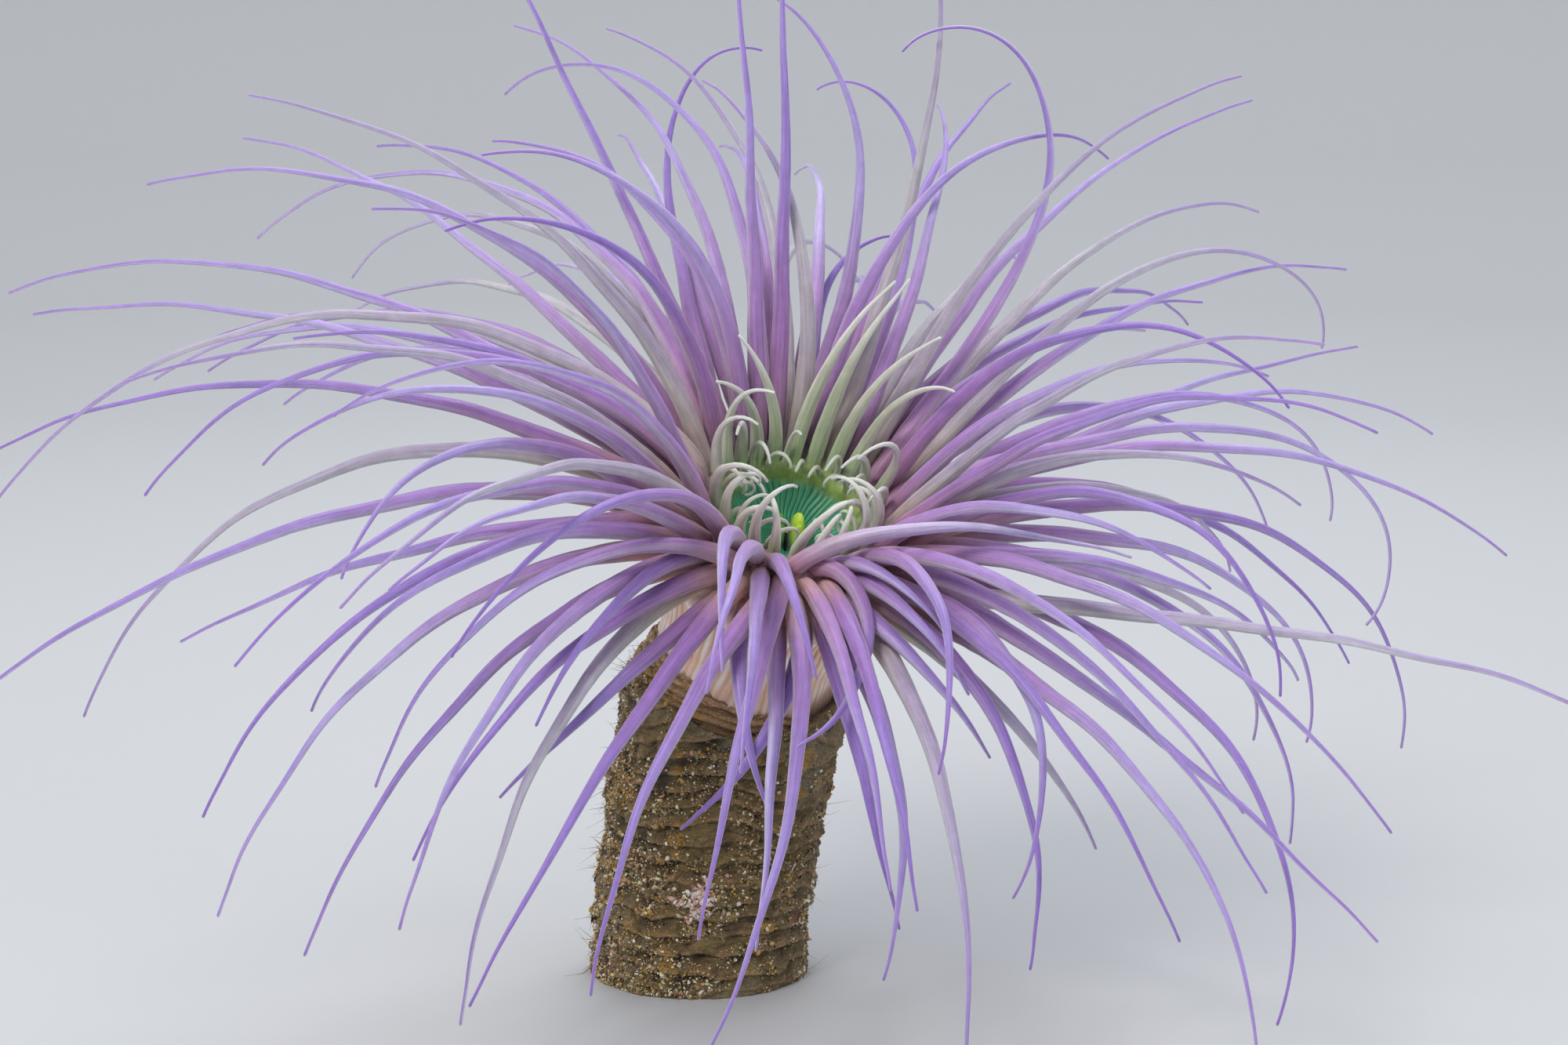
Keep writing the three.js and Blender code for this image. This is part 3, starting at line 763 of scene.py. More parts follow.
def give_room(paths):
    """Lets each tentacle be as thick as its neighbours leave room for."""
    for path in paths:
        path.wanted = flesh_radius(path, path.along)
    for path in paths:
        limit = np.full(STEPS + 1, np.inf)
        for other in neighbours(path, [other for other in paths if other is not path], 6):
            dense, thick = with_middles(other.points), with_middles(other.wanted)
            apart = np.linalg.norm(path.points[:, None] - dense[None], axis=2)
            share = apart * path.wanted[:, None] / (path.wanted[:, None] + thick)
            limit = np.minimum(limit, share.min(axis=1))
        limit += 0.45 * (1 - ease(0.5, 4.5, path.along)) - 0.06
        held = np.minimum(path.wanted, np.maximum(limit, 0.86 * path.radii))
        lowest = np.min(windows(held, 3), axis=0)
        path.flesh = sum(w * shift for w, shift in zip((1, 2, 3, 2, 1), windows(lowest, 5))) / 9


def tentacle_rings(path, index):
    """Rings round a tentacle from under the rim to its tip, and how far along each one is."""
    near = min(12.0, 0.7 * path.length)
    s = np.concatenate([np.arange(-2.6, 5.0, 0.36), np.arange(5.0, near, 0.8)])
    steps = max(9, int((path.length - s[-1]) / 1.25))
    s = np.concatenate([s[:-1], np.linspace(s[-1], path.length, steps)])
    points = along_path(path, s)
    heads = units(np.gradient(points, axis=0))
    sides = np.empty_like(points)
    side = outward(path.angle)
    for i, head in enumerate(heads):
        sides[i] = side = unit(side - side.dot(head) * head)
    across = np.cross(heads, sides)
    share, phase = s / path.length, 2.4 * index
    wander = 0.2 * ease(10, 45, s) * (1 - ease(0.9, 1.0, share))
    points = points + (wander * np.sin(s / 4.1 + phase))[:, None] * sides
    points = points + (wander * np.sin(s / 5.3 + 2 * phase))[:, None] * across
    radius = np.interp(np.maximum(s, 0), path.along, path.flesh)
    radius = radius * (1 + 0.3 * hump(np.maximum(s, 0), 1.1))
    radius *= 1 + 0.03 * noise3(stack(s / 2.2, index, 0), 3)
    flat = 1 + 0.1 * ease(6, 18, s) * (1 - ease(0.7, 1, share))
    turn = circle(14 if path.row >= 0 else 12)
    wide, deep = (radius / flat)[:, None] * sides, (radius * flat)[:, None] * across
    rings = points[:, None] + turned(turn[None], wide[:, None], deep[:, None])
    return rings, s, points[0], points[-1] + heads[-1] * radius[-1]


def tentacle_mesh(name, paths, chosen):
    """Some tentacles that don't touch one another, as one mesh."""
    vertices, quad_blocks, fans, quad_uv, fan_uv = [], [], [], [], []
    count = 0
    for index in chosen:
        rings, s, foot, tip = tentacle_rings(paths[index], index)
        n, around, _ = rings.shape
        vertices += [rings.reshape(-1, 3), foot[None], tip[None]]
        quads, places = grid(n, around, count)
        corner = strip(index)
        tall = (s + UNDER_ROOT) / LONGEST * STRIP_TALL
        quad_blocks.append(quads)
        quad_uv.append(corner + stack(places[..., 1] / around * STRIP_WIDTH, tall[places[..., 0]]))
        for centre, ring_number, end in ((n * around, 0, -1), (n * around + 1, n - 1, 1)):
            start = count + ring_number * around
            triangles, columns = fan(count + centre, start, around, turned=end < 0)
            fans.append(triangles)
            level = np.full(columns.shape, tall[ring_number])
            level[:, 0] += end * 0.3 / LONGEST * STRIP_TALL
            fan_uv.append(corner + stack(columns / around * STRIP_WIDTH, level))
        count += n * around + 2
    uv = [np.concatenate(part).reshape(-1, 2) for part in (quad_uv, fan_uv)]
    blocks = [np.concatenate(quad_blocks), np.concatenate(fans)]
    return new_object(new_mesh(name, np.concatenate(vertices), blocks, np.concatenate(uv)))


def join_skin(body, sets):
    """One closed surface of the body and every tentacle, as a union of the closed pieces."""
    whole = new_object(body.mesh())
    for piece in sets:
        join = whole.modifiers.new(piece.name, "BOOLEAN")
        join.operation, join.solver, join.object = "UNION", "MANIFOLD", piece
    graph = bpy.context.evaluated_depsgraph_get()
    joined = bpy.data.meshes.new_from_object(whole.evaluated_get(graph))
    whole.modifiers.clear()
    whole.data = joined
    for piece in sets:
        bpy.data.objects.remove(piece)
    return whole


# ---- the colours of the flesh ----
TEAL, DEEP_TEAL, MINT = srgb(52, 142, 104), srgb(10, 62, 46), srgb(88, 196, 148)
LIME, DEEP_LIME, SLIT_SHADE = srgb(186, 216, 66), srgb(92, 146, 62), srgb(12, 48, 34)
YELLOW_GREEN, CREAM_GREEN = srgb(176, 200, 112), srgb(190, 192, 160)
ROSE, DARK_ROSE = srgb(200, 160, 160), srgb(112, 80, 96)
PEACH, PEACH_HIGHLIGHT, TAN = srgb(240, 204, 180), srgb(253, 242, 236), srgb(200, 152, 122)
MAUVE, GREY_MAUVE, BLUSH = srgb(162, 114, 160), srgb(128, 106, 130), srgb(176, 136, 186)
VIOLET, LILAC, SAGE = srgb(140, 110, 186), srgb(172, 162, 206), srgb(184, 190, 164)
DEEP_VIOLET, PALE = srgb(124, 98, 178), srgb(216, 216, 226)
LABIAL_GREEN, LABIAL_ROSE = srgb(160, 176, 138), srgb(192, 180, 180)
LABIAL_PALE = srgb(222, 226, 216)
# The shares of the tentacles that are violet, and that are violet or lilac. The rest are sage.
VIOLET_SHARE, LILAC_SHARE = 0.5, 0.78


def body_colours(far, angle, body):
    r = np.interp(far, body.far, body.radius)
    on_top = far < body.far[body.on_top - 1]
    share = np.interp(far, body.far, body.column_share)
    x, y = r * np.cos(angle), r * np.sin(angle)
    plane = stack(x, y, 0)
    furrows = 0.85 * furrow_lines(r, angle) * ease(0.5, 3.5, r)
    ridges = noise3(plane * np.array([0.7, 3.2, 1]), 5)
    lime = blend(LIME, DEEP_LIME, ease(0.6, -0.8, x) + 0.35 * ease(0, 0.6, ridges))
    disc = layered(
        TEAL,
        (MINT, 0.75 * ease(0, -9, y) * ease(2, 7, r) + 0.2 * noise3(plane * 0.5, 21)),
        (DEEP_TEAL, furrows + 0.25 * (1 - ease(2, 6, r))),
        (lime, ease(0.05, 0.5, np.maximum(*lips(x, y)))),
        # Near black along the mouth's slit: painted shade in the opening.
        (SLIT_SHADE, hump(x, 0.4) * ease(4.6, 3.0, np.abs(y))),
    )
    rim = layered(
        YELLOW_GREEN,
        (CREAM_GREEN, ease(13.5, 16.5, r)),
        # Deep teal in the net's holes: painted shade in the openings.
        (DEEP_TEAL, 0.8 * net_holes(r, angle)),
        (DARK_ROSE, ease(15.5, 18, r) * 0.55),
        (ROSE, ease(19, 24, r)),
    )
    top = blend(disc, rim, ease(10.8, 13.0, r + 0.7 * noise3(plane * 0.7, 8)))
    height = pleats(angle, share)
    side = layered(
        PEACH,
        # Paler on the pleats' crests: a painted highlight.
        (PEACH_HIGHLIGHT, ease(-0.1, 0.35, height)),
        # Darker tan in the pleats' hollows: painted shade.
        (TAN, ease(-0.25, -0.75, height) * 0.8),
        (TAN, 0.5 * ease(0.45, 0.15, share)),
    )
    edge = body.far[body.on_top]
    return np.where(on_top[:, None], top, blend(ROSE, side, ease(edge, edge + 7, far)))


def tentacle_colours(path, index, s, turn):
    """Colours at distances along a tentacle; a turn of 0 is the side away from the mouth."""
    row, front, back = path.row, frontness(path.angle), backness(path.angle)
    t = np.clip(s / path.length, 0, 1)
    kind, tone, depth = scatter(index + 40, 0, 3)
    outer = 0.5 + 0.5 * np.cos(turn)
    drift = 0.5 * noise3(stack(s / 17, index, 0), 11)
    if row < 0:
        return layered(
            YELLOW_GREEN,
            (LABIAL_GREEN, ease(0.0, 3.5, s)),
            (
                mix(LABIAL_ROSE, LABIAL_GREEN, 0.3 + 0.4 * back + 0.3 * (kind - 0.5)),
                ease(0.1, 0.4, t + drift * 0.2),
            ),
            # Pale along both side edges: a painted highlight for light through the thin flesh.
            (LABIAL_PALE, 0.65 * np.sin(turn) ** 6 * ease(0.5, 3, s)),
            (LABIAL_PALE, 0.7 * ease(0.35, 0.9, t)),
        )
    root = mix(mix(ROSE, MAUVE, 0.7 - 0.2 * row), GREY_MAUVE, 0.55 * back)
    if front > 0.3:
        root = mix(root, PEACH, 0.5 * front * min(1, (row + 0.5) / 2))
    if kind < VIOLET_SHARE or (front > 0.75 and row < 3):
        middle, blush = mix(VIOLET, LILAC, 0.25 + 0.5 * tone), mix(MAUVE, BLUSH, tone)
    elif kind < LILAC_SHARE:
        middle, blush = LILAC, BLUSH
    else:
        middle, blush = mix(SAGE, LILAC, 0.4 * tone), mix(SAGE, BLUSH, 0.3)
        root = mix(root, CREAM_GREEN, 0.45)
    tip = mix(VIOLET, DEEP_VIOLET, depth)
    # Deeper violet on the side towards the mouth, which faces down where a tentacle droops: partly
    # the tentacle's own colour, partly painted shade on its underside.
    inner = 0.65 * (1 - outer) ** 1.5 * (1 - 0.5 * back)
    inner = inner * ease(0.06, 0.25, t) * (1 - 0.6 * ease(0.6, 1, t))
    # The side away from the mouth, uppermost where a tentacle droops, and both side edges are made
    # paler: a painted highlight for light falling on the top and coming through the thin edges.
    pale = blend(SAGE, PALE, ease(0.12, 0.4, t))
    painted_highlight = 0.5 * outer**2 + 0.5 * np.sin(turn) ** 10
    return layered(
        root,
        (blush, ease(0.03, 0.2, t)),
        (middle, ease(0.2, 0.62, t + 0.12 * drift)),
        (tip, 0.8 * ease(0.55, 1.0, t + 0.2 * drift)),
        (VIOLET, inner * (0.5 + 0.5 * depth)),
        (pale, painted_highlight * (0.4 + 0.6 * tone) * ease(0.04, 0.2, t)),
    )


# ---- the flesh: one skin ----
def corner_facts(mesh, paths, body):
    """For each face corner, the vertex, the part it came from, and the colour painted there."""
    vertex = read(mesh.loops, "vertex_index", 1, np.int32)[:, 0]
    uv = read(mesh.uv_layers["OFBake"].uv, "vector", 2, np.float32).astype(float)
    tier = np.floor((uv[:, 1] - STRIP_FLOOR) / TIER_RISE).astype(int)
    place = np.floor(uv[:, 0] * STRIPS_IN_TIER).astype(int)
    on_body = uv[:, 1] < STRIP_FLOOR - 0.01
    part = np.where(on_body, -1, tier * STRIPS_IN_TIER + place)
    colours = np.zeros((len(vertex), 3))
    flat = (uv[on_body] - BODY_MIDDLE) * body.far[-1] / BODY_REACH
    colours[on_body] = body_colours(np.hypot(*flat.T), np.arctan2(flat[:, 1], flat[:, 0]), body)
    order = np.argsort(part, kind="stable")
    edges = np.searchsorted(part[order], np.arange(len(paths) + 1))
    for index, path in enumerate(paths):
        mine = order[edges[index] : edges[index + 1]]
        across, up = (uv[mine] - strip(index)).T
        s = up / STRIP_TALL * LONGEST - UNDER_ROOT
        colours[mine] = tentacle_colours(path, index, s, across / STRIP_WIDTH * 2 * math.pi)
    return vertex, part, colours


def vertex_mean(vertex, values, count):
    shares = np.bincount(vertex, minlength=count)[:, None]
    columns = [np.bincount(vertex, weights=column, minlength=count) for column in values.T]
    return np.stack(columns, axis=1) / np.maximum(shares, 1)


def relax(values, edges, weight, rounds):
    """Draws each vertex's values towards the mean of its neighbours'."""
    count = len(values)
    ends = np.concatenate([edges[:, 0], edges[:, 1]])
    others = np.concatenate([edges[:, 1], edges[:, 0]])
    for _ in range(rounds):
        values = values + weight[:, None] * (vertex_mean(ends, values[others], count) - values)
    return values


def finish_skin(mesh, paths, body):
    """Rounds the creases where tentacles leave the body, and paints the whole, with painted shade
    darkening those creases.
    """
    count = len(mesh.vertices)
    vertex, part, colours = corner_facts(mesh, paths, body)
    part = part.astype(float)
    mean = vertex_mean(vertex, stack(part, part**2, part >= 0), count)
    seam = (mean[:, 1] - mean[:, 0] ** 2 > 1e-6).astype(float)
    edges = read(mesh.edges, "vertices", 2, np.int32)
    near = relax(seam[:, None], edges, np.full(count, 0.8), 5)[:, 0]
    near = np.clip(near * 3.2, 0, 1)
    points = relax(vertex_array(mesh), edges, 0.7 * near, 9)
    tint = relax(vertex_mean(vertex, colours, count), edges, 0.8 * near, 12)
    mesh.vertices.foreach_set("co", (points * MM).astype(np.float32).ravel())
    make_smooth(mesh)
    # Near the seams the colour is darkened by a quarter: painted shade in the creases round the
    # tentacles' roots.
    paint(mesh, tint * (1 - 0.25 * near)[:, None], streaked=mean[:, 2])
    mesh.update()


# ---- materials ----
class Shader:
    """A Principled material, with short calls for the nodes that feed it."""

    def __init__(self, name, **sockets):
        self.material = bpy.data.materials.new(name)
        self.material.use_nodes = True
        self.tree = self.material.node_tree
        self.surface = self.tree.nodes["Principled BSDF"]
        for socket, value in sockets.items():
            self.surface.inputs[socket.replace("_", " ")].default_value = value

    def node(self, kind, links, output, **settings):
        """Adds a node with its inputs, by value or from another node, and gives its output."""
        made = self.tree.nodes.new("ShaderNode" + kind)
        for key, value in settings.items():
            setattr(made, key, value)
        for key, value in links.items():
            if isinstance(value, bpy.types.NodeSocket):
                self.tree.links.new(value, made.inputs[key])
            else:
                made.inputs[key].default_value = value
        return made.outputs[output]

    def place(self):
        return self.node("TexCoord", {}, "Object")

    def tint(self, channel="Color"):
        return self.node("Attribute", {}, channel, attribute_name="tint")

    def noise(self, where, scale, detail=3.0, roughness=0.6):
        links = {"Vector": where, "Scale": scale, "Detail": detail, "Roughness": roughness}
        return self.node("TexNoise", links, "Fac")

    def scaled(self, where, scale):
        return self.node("Mapping", {"Vector": where, "Scale": scale}, "Vector")

    def span(self, value, low, high, to_low, to_high):
        links = {"Value": value, "From Min": low, "From Max": high}
        links.update({"To Min": to_low, "To Max": to_high})
        return self.node("MapRange", links, "Result", clamp=True)

    def shaded(self, colour, value, low, high, dark, light):
        """A colour made darker and lighter as a value goes from low to high."""
        amount = self.span(value, low, high, dark, light)
        grey = self.node("CombineXYZ", {"X": amount, "Y": amount, "Z": amount}, "Vector")
        links = {"Factor": 1.0, MIX_COLOUR_A: colour, MIX_COLOUR_B: grey}
        return self.node("Mix", links, MIX_COLOUR_OUT, data_type="RGBA", blend_type="MULTIPLY")

    def bump(self, height, distance, **below):
        links = {"Height": height, "Distance": distance, "Strength": 1.0, **below}
        return self.node("Bump", links, "Normal")

    def join(self, socket, output):
        self.tree.links.new(output, self.surface.inputs[socket])


# The Mix node has sockets of the same name for numbers, vectors and colours.
MIX_COLOUR_A, MIX_COLOUR_B, MIX_COLOUR_OUT = 6, 7, 2


def skin_material():
    """Wet, see-through flesh: streaked along each tentacle, finely wrinkled, lit from within."""
    shader = Shader(
        "anemone_skin",
        Subsurface_Weight=0.75,
        Subsurface_Scale=0.0018,
        Subsurface_Radius=(1.0, 0.75, 0.95),
        Roughness=0.42,
        Sheen_Weight=0.25,
        Sheen_Roughness=0.4,
        Coat_Weight=0.12,
        Coat_Roughness=0.3,
        IOR=1.37,
    )
    place, chart = shader.place(), shader.node("UVMap", {}, "UV", uv_map="OFBake")
    streaks = shader.noise(shader.scaled(chart, (1100, 60, 1)), 1.0, 3.0)
    streaks = {0: shader.span(streaks, 0.3, 0.7, -0.5, 0.5), 1: shader.tint("Alpha")}
    streaks = shader.node("Math", streaks, "Value", operation="MULTIPLY")
    mottle = shader.noise(place, 420, 3.0)
    colour = shader.shaded(shader.tint(), streaks, -0.5, 0.5, 0.8, 1.2)
    shader.join("Base Color", shader.shaded(colour, mottle, 0.3, 0.7, 0.92, 1.06))
    shader.join("Roughness", shader.span(mottle, 0.3, 0.7, 0.34, 0.52))
    fine = shader.bump(shader.noise(place, 2600, 2.0), 0.00006)
    shader.join("Normal", shader.bump(streaks, 0.00008, Normal=fine))
    return shader.material


def felt_material():
    """Matted felt: threads that lie round the tube, with fine specks between them."""
    shader = Shader("tube_felt", Roughness=0.9, Sheen_Weight=0.15)
    place = shader.place()
    threads = shader.noise(shader.scaled(place, (600, 600, 2600)), 1.0, 4.0, 0.7)
    specks = shader.noise(place, 2100, 2.0)
    colour = shader.shaded(shader.tint(), threads, 0.25, 0.75, 0.55, 1.4)
    shader.join("Base Color", shader.shaded(colour, specks, 0.35, 0.65, 0.75, 1.2))
    fine = shader.bump(specks, 0.00018)
    shader.join("Normal", shader.bump(threads, 0.0004, Normal=fine))
    return shader.material


def grain_material(name, roughness):
    shader = Shader(name, Roughness=roughness)
    specks = shader.noise(shader.place(), 3200, 2.0)
    shader.join("Base Color", shader.shaded(shader.tint(), specks, 0.3, 0.7, 0.78, 1.15))
    shader.join("Normal", shader.bump(specks, 0.00008))
    return shader.material


# ---- the felt tube ----
WALL_AROUND, WALL_RINGS, INNER_RINGS = 500, 184, 14
INSIDE_FOOT, INSIDE_RADIUS, FELT_RADIUS = 44.0, 19.0, 21
RUFFLES, RUFFLE_AROUND, RUFFLE_ROWS = 5, 300, 22
OLIVE, UMBER, CREVICE_SHADE = srgb(128, 108, 66), srgb(84, 66, 40), srgb(26, 18, 12)
OCHRE, RUST, GREY_FELT = srgb(188, 138, 48), srgb(128, 62, 44), srgb(142, 132, 106)
FELT_TAN, FELT_PEACH = srgb(176, 140, 96), srgb(206, 164, 126)


def rim_height(angle):
    """The tube's torn mouth: lowest at the front, highest at the left."""
    left, front = np.maximum(0, -np.cos(angle)), np.maximum(0, -np.sin(angle))
    ragged = 0.9 * noise3(ring(angle, 4, 0), 41)
    return TUBE_HEIGHT - 7.0 * front**1.3 * (1 - 0.5 * left) + 2.2 * left - 1.0 + ragged


def wall_relief(angle, z):
    """How far the felt stands out, how far each fold hangs down, and where the folds' lips are."""
    place = ring(angle, FELT_RADIUS, z)
    warp = 3.0 * noise3(place / np.array([13, 13, 12]), 1) + 1.3 * noise3(place / 5.0, 2)
    level = (z + warp) / 3.6
    fold = np.floor(level)
    phase = level - fold
    grit = 0.5 - 0.5 * np.cos(angle + 0.4) * ease(6, 30, z)
    swell = 0.8 + 0.6 * noise3(stack(place[..., 0] / 7, place[..., 1] / 7, fold * 1.7), 3)
    swell = (1.1 - 0.7 * grit) * swell
    lip = (1 - phase) ** 0.8 * ease(0, 0.16, phase)
    small_level = (z + 0.8 * warp + 0.6 * noise3(place / 2.6, 4)) / 1.25
    small = (1 - (small_level - np.floor(small_level))) ** 0.7
    lumps = (0.5 + 1.1 * grit) * rough(place / 3.6, 8, 2) + 0.4 * rough(place / 1.5, 5)
    felt = 0.42 * np.abs(rough(place / 0.75, 6, 2))
    out = 1.3 * swell * lip + 0.45 * small * (1.2 - grit) + lumps + felt - 0.8
    return out, -0.5 * swell * lip, lip


def wall_colours(angle, z, out, lip):
    place = ring(angle, FELT_RADIUS, z)
    patch = ease(0.32, 0.5, rough(place / 6.5, 51))
    return layered(
        OLIVE,
        (UMBER, 0.45 + 0.8 * rough(place / 2.3, 52)),
        (GREY_FELT, 0.6 * ease(0.0, 0.5, rough(place / 8, 53))),
        (OCHRE, 0.75 * patch * ease(0.2, 0.6, lip)),
        (RUST, 0.6 * ease(0.4, 0.55, rough(place / 4.4, 54))),
        # Lighter tan along each fold's lip: partly the frill's own paler felt, partly a painted
        # highlight.
        (FELT_TAN, 0.55 * ease(0.55, 0.95, lip + 0.4 * rough(place / 1.3, 55))),
        # Near black where the felt sinks in between the folds: painted shade.
        (CREVICE_SHADE, 0.85 * ease(0.0, -1.0, out)),
    )


def tube_wall():
    """The folded wall, open at the top and closed at the floor, with a thick, torn rim."""
    angle = circle(WALL_AROUND)
    top = rim_height(angle)
    share = np.linspace(0, 1, WALL_RINGS)[:, None]
    z = share * top
    turn = np.broadcast_to(angle, z.shape)
    out, down, lip = wall_relief(turn, z)
    settle = ease(0, 3, z)
    out = out * (0.35 + 0.65 * settle) * (1 - 0.5 * ease(0.97, 1, share))
    radius = mix(TUBE_FOOT_RADIUS, TUBE_RIM_RADIUS, (z / TUBE_HEIGHT) ** 2) + out
    inner = np.linspace(0, 1, INNER_RINGS)[:, None]
    inner_z = mix(top + 0.2 * np.sin(math.pi * inner), INSIDE_FOOT, ease(0, 1, inner))
    inner_radius = mix(radius[-1], INSIDE_RADIUS, ease(0, 0.3, inner))
    heights = np.concatenate([z + down * settle, inner_z[1:]])
    radii = np.concatenate([radius, inner_radius[1:]])
    rings = spine(heights) + ring(angle, radii, 0)
    rings[0, :, 2] = 0.0
    n = len(rings)
    vertices = np.concatenate([rings.reshape(-1, 3), [[0, 0, 0.0]], [rings[-1].mean(axis=0)]])
    quads, places = grid(n, WALL_AROUND)
    floor, _ = fan(n * WALL_AROUND, 0, WALL_AROUND, turned=True)
    inside, _ = fan(n * WALL_AROUND + 1, (n - 1) * WALL_AROUND, WALL_AROUND, turned=False)
    tall = np.linspace(0.02, 0.8, n)
    uv = [stack(places[..., 1] / WALL_AROUND * 0.98 + 0.01, tall[places[..., 0]])]
    turns = np.concatenate([np.tile(angle, n), [0, 0]])
    for block, centre in ((floor, (0.12, 0.9)), (inside, (0.32, 0.9))):
        reach = np.where(block >= n * WALL_AROUND, 0, 0.08)
        uv.append(np.array(centre) + ring(turns[block], reach, 0)[..., :2])
    uv = np.concatenate([part.reshape(-1, 2) for part in uv])
    mesh = new_mesh("felt_tube", vertices, [quads, floor, inside], uv)
    colour = wall_colours(turn, z, out, lip).reshape(-1, 3)
    # The inside of the tube is dark umber throughout: painted shade.
    inner_shade = np.tile(UMBER * 0.5, (len(vertices) - len(colour), 1))
    paint(mesh, np.concatenate([colour, inner_shade]))
    make_smooth(mesh)
    return new_object(mesh)


def ruffle(layer, column):
    """One of the loose, torn layers of felt that line the tube's mouth and cling to the column."""
    angle = circle(RUFFLE_AROUND)
    left = np.maximum(0, -np.cos(angle)) ** 1.3
    ragged, teeth = (noise3(ring(angle, size, layer), seed) for size, seed in ((5, 61), (26, 62)))
    top = 4.2 + 1.45 * layer + 6.0 * left + 0.9 * ragged + 0.35 * teeth
    share = np.linspace(0, 1, RUFFLE_ROWS)[:, None]
    rise = mix(0.6, top, share)
    where = ring(angle, 20, rise * 1.6)
    creases = np.sin(2 * math.pi * rise / 1.7 + 2.5 * noise3(where / 7, 63 + layer))
    stand = mix(2.7, 0.75, layer / (RUFFLES - 1)) + 0.28 * creases
    stand = stand + 0.5 * noise3(where / 4, 71 + layer)
    stand = stand - 0.5 * ease(0.75, 1, share) + 0.22 * rough(where / 0.9, 75 + layer, 2)
    stand = np.maximum(stand, 0.15)
    thick = 0.3 * (1 - 0.6 * share)
    sheets = [around_column(column, angle, rise, reach) for reach in (stand, stand - thick)]
    rings = np.concatenate([sheets[0], sheets[1][::-1]])
    n = len(rings)
    quads, places = grid(n + 1, RUFFLE_AROUND)
    quads %= n * RUFFLE_AROUND
    uv = stack(places[..., 1] / RUFFLE_AROUND, places[..., 0] / n * 0.9) * 0.98 + 0.01
    mesh = new_mesh(f"felt_layer_{layer}", rings.reshape(-1, 3), [quads], uv.reshape(-1, 2))
    colour = layered(
        FELT_TAN,
        (OLIVE, 0.55 + 0.5 * rough(where / 5, 81 + layer) - 0.1 * layer),
        (FELT_PEACH, np.full(rise.shape, 0.2 * layer)),
        (OCHRE, 0.5 * ease(0.3, 0.5, rough(where / 6, 85 + layer))),
        # Darker umber in the creases' troughs: painted shade.
        (UMBER, 0.75 * ease(0.2, -0.9, creases)),
    )
    # The face towards the column gets the outer colours at half brightness: painted shade.
    paint(mesh, np.concatenate([colour, colour[::-1] * 0.5]).reshape(-1, 3))
    make_smooth(mesh)
    return new_object(mesh)


def around_column(column, angle, rise, stand):
    """Places outside the column's skin, by angle, by height above its foot and by distance out."""
    far, centres, x, y, radius = column
    centre, x, y = (
        stack(*(np.interp(rise, far, part) for part in values.T)) for values in (centres, x, y)
    )
    reach = np.interp(rise, far, radius) + stand
    return centre + reach[..., None] * turned(np.broadcast_to(angle, rise.shape), x, y)


# ---- what sticks to the felt ----
ON_FLOOR = 0.02
PATCH_MIDDLE, PATCH_REACH = 0.5, 0.3


def spots(piece, count, favour):
    """Scattered places on a mesh, and the way out of the mesh at each."""
    mesh = piece.data
    mesh.calc_loop_triangles()
    corners = read(mesh.loop_triangles, "vertices", 3, np.int32)
    a, b, c = np.moveaxis(vertex_array(mesh)[corners], 1, 0)
    cross = np.cross(b - a, c - a)
    area = np.linalg.norm(cross, axis=1)
    out = cross / np.maximum(area, 1e-9)[:, None]
    weight = area * favour((a + b + c) / 3, out)
    chosen = random.choice(len(area), count, p=weight / weight.sum())
    s, t = random.random((2, count, 1))
    s, t = np.where(s + t > 1, 1 - s, s), np.where(s + t > 1, 1 - t, t)
    return a[chosen] + s * (b - a)[chosen] + t * (c - a)[chosen], out[chosen]


def outside_felt(places, out):
    """Where grit lies: outside the tube, thickest at the left and low down, thin under the rim."""
    across = places[:, :2] - spine(places[:, 2])[:, :2]
    reach = np.maximum(np.linalg.norm(across, axis=1), 1e-6)
    facing_out = (out[:, :2] * across).sum(axis=1) / reach
    left = 0.5 - 0.5 * across[:, 0] / reach
    low = 1 - ease(14, 48, places[:, 2])
    clumps = ease(-0.35, 0.45, rough(places / 4.5, 91))
    cover = 0.2 + 0.9 * left**1.5 + 0.5 * low
    return cover * clumps * ease(-0.1, 0.5, facing_out + 0.5 * np.maximum(out[:, 2], 0))


def near_rim(places, out):
    return ease(3, 7, places[:, 2] - 50)


def near_spot(angle, height, reach):
    """Favours places on the tube's outside near an angle and a height."""
    turn = math.radians(angle)
    middle = spine(height) + TUBE_RIM_RADIUS * np.array([math.cos(turn), math.sin(turn), 0])
    return lambda places, out: hump(np.linalg.norm(places - middle, axis=1), reach) + 1e-9


def turns(count):
    """Random rotations, one for each of many small things."""
    w, x, y, z = units(random.normal(size=(count, 4))).T
    rows = (
        stack(1 - 2 * (y * y + z * z), 2 * (x * y - z * w), 2 * (x * z + y * w)),
        stack(2 * (x * y + z * w), 1 - 2 * (x * x + z * z), 2 * (y * z - x * w)),
        stack(2 * (x * z - y * w), 2 * (y * z + x * w), 1 - 2 * (x * x + y * y)),
    )
    return np.stack(rows, axis=-2)


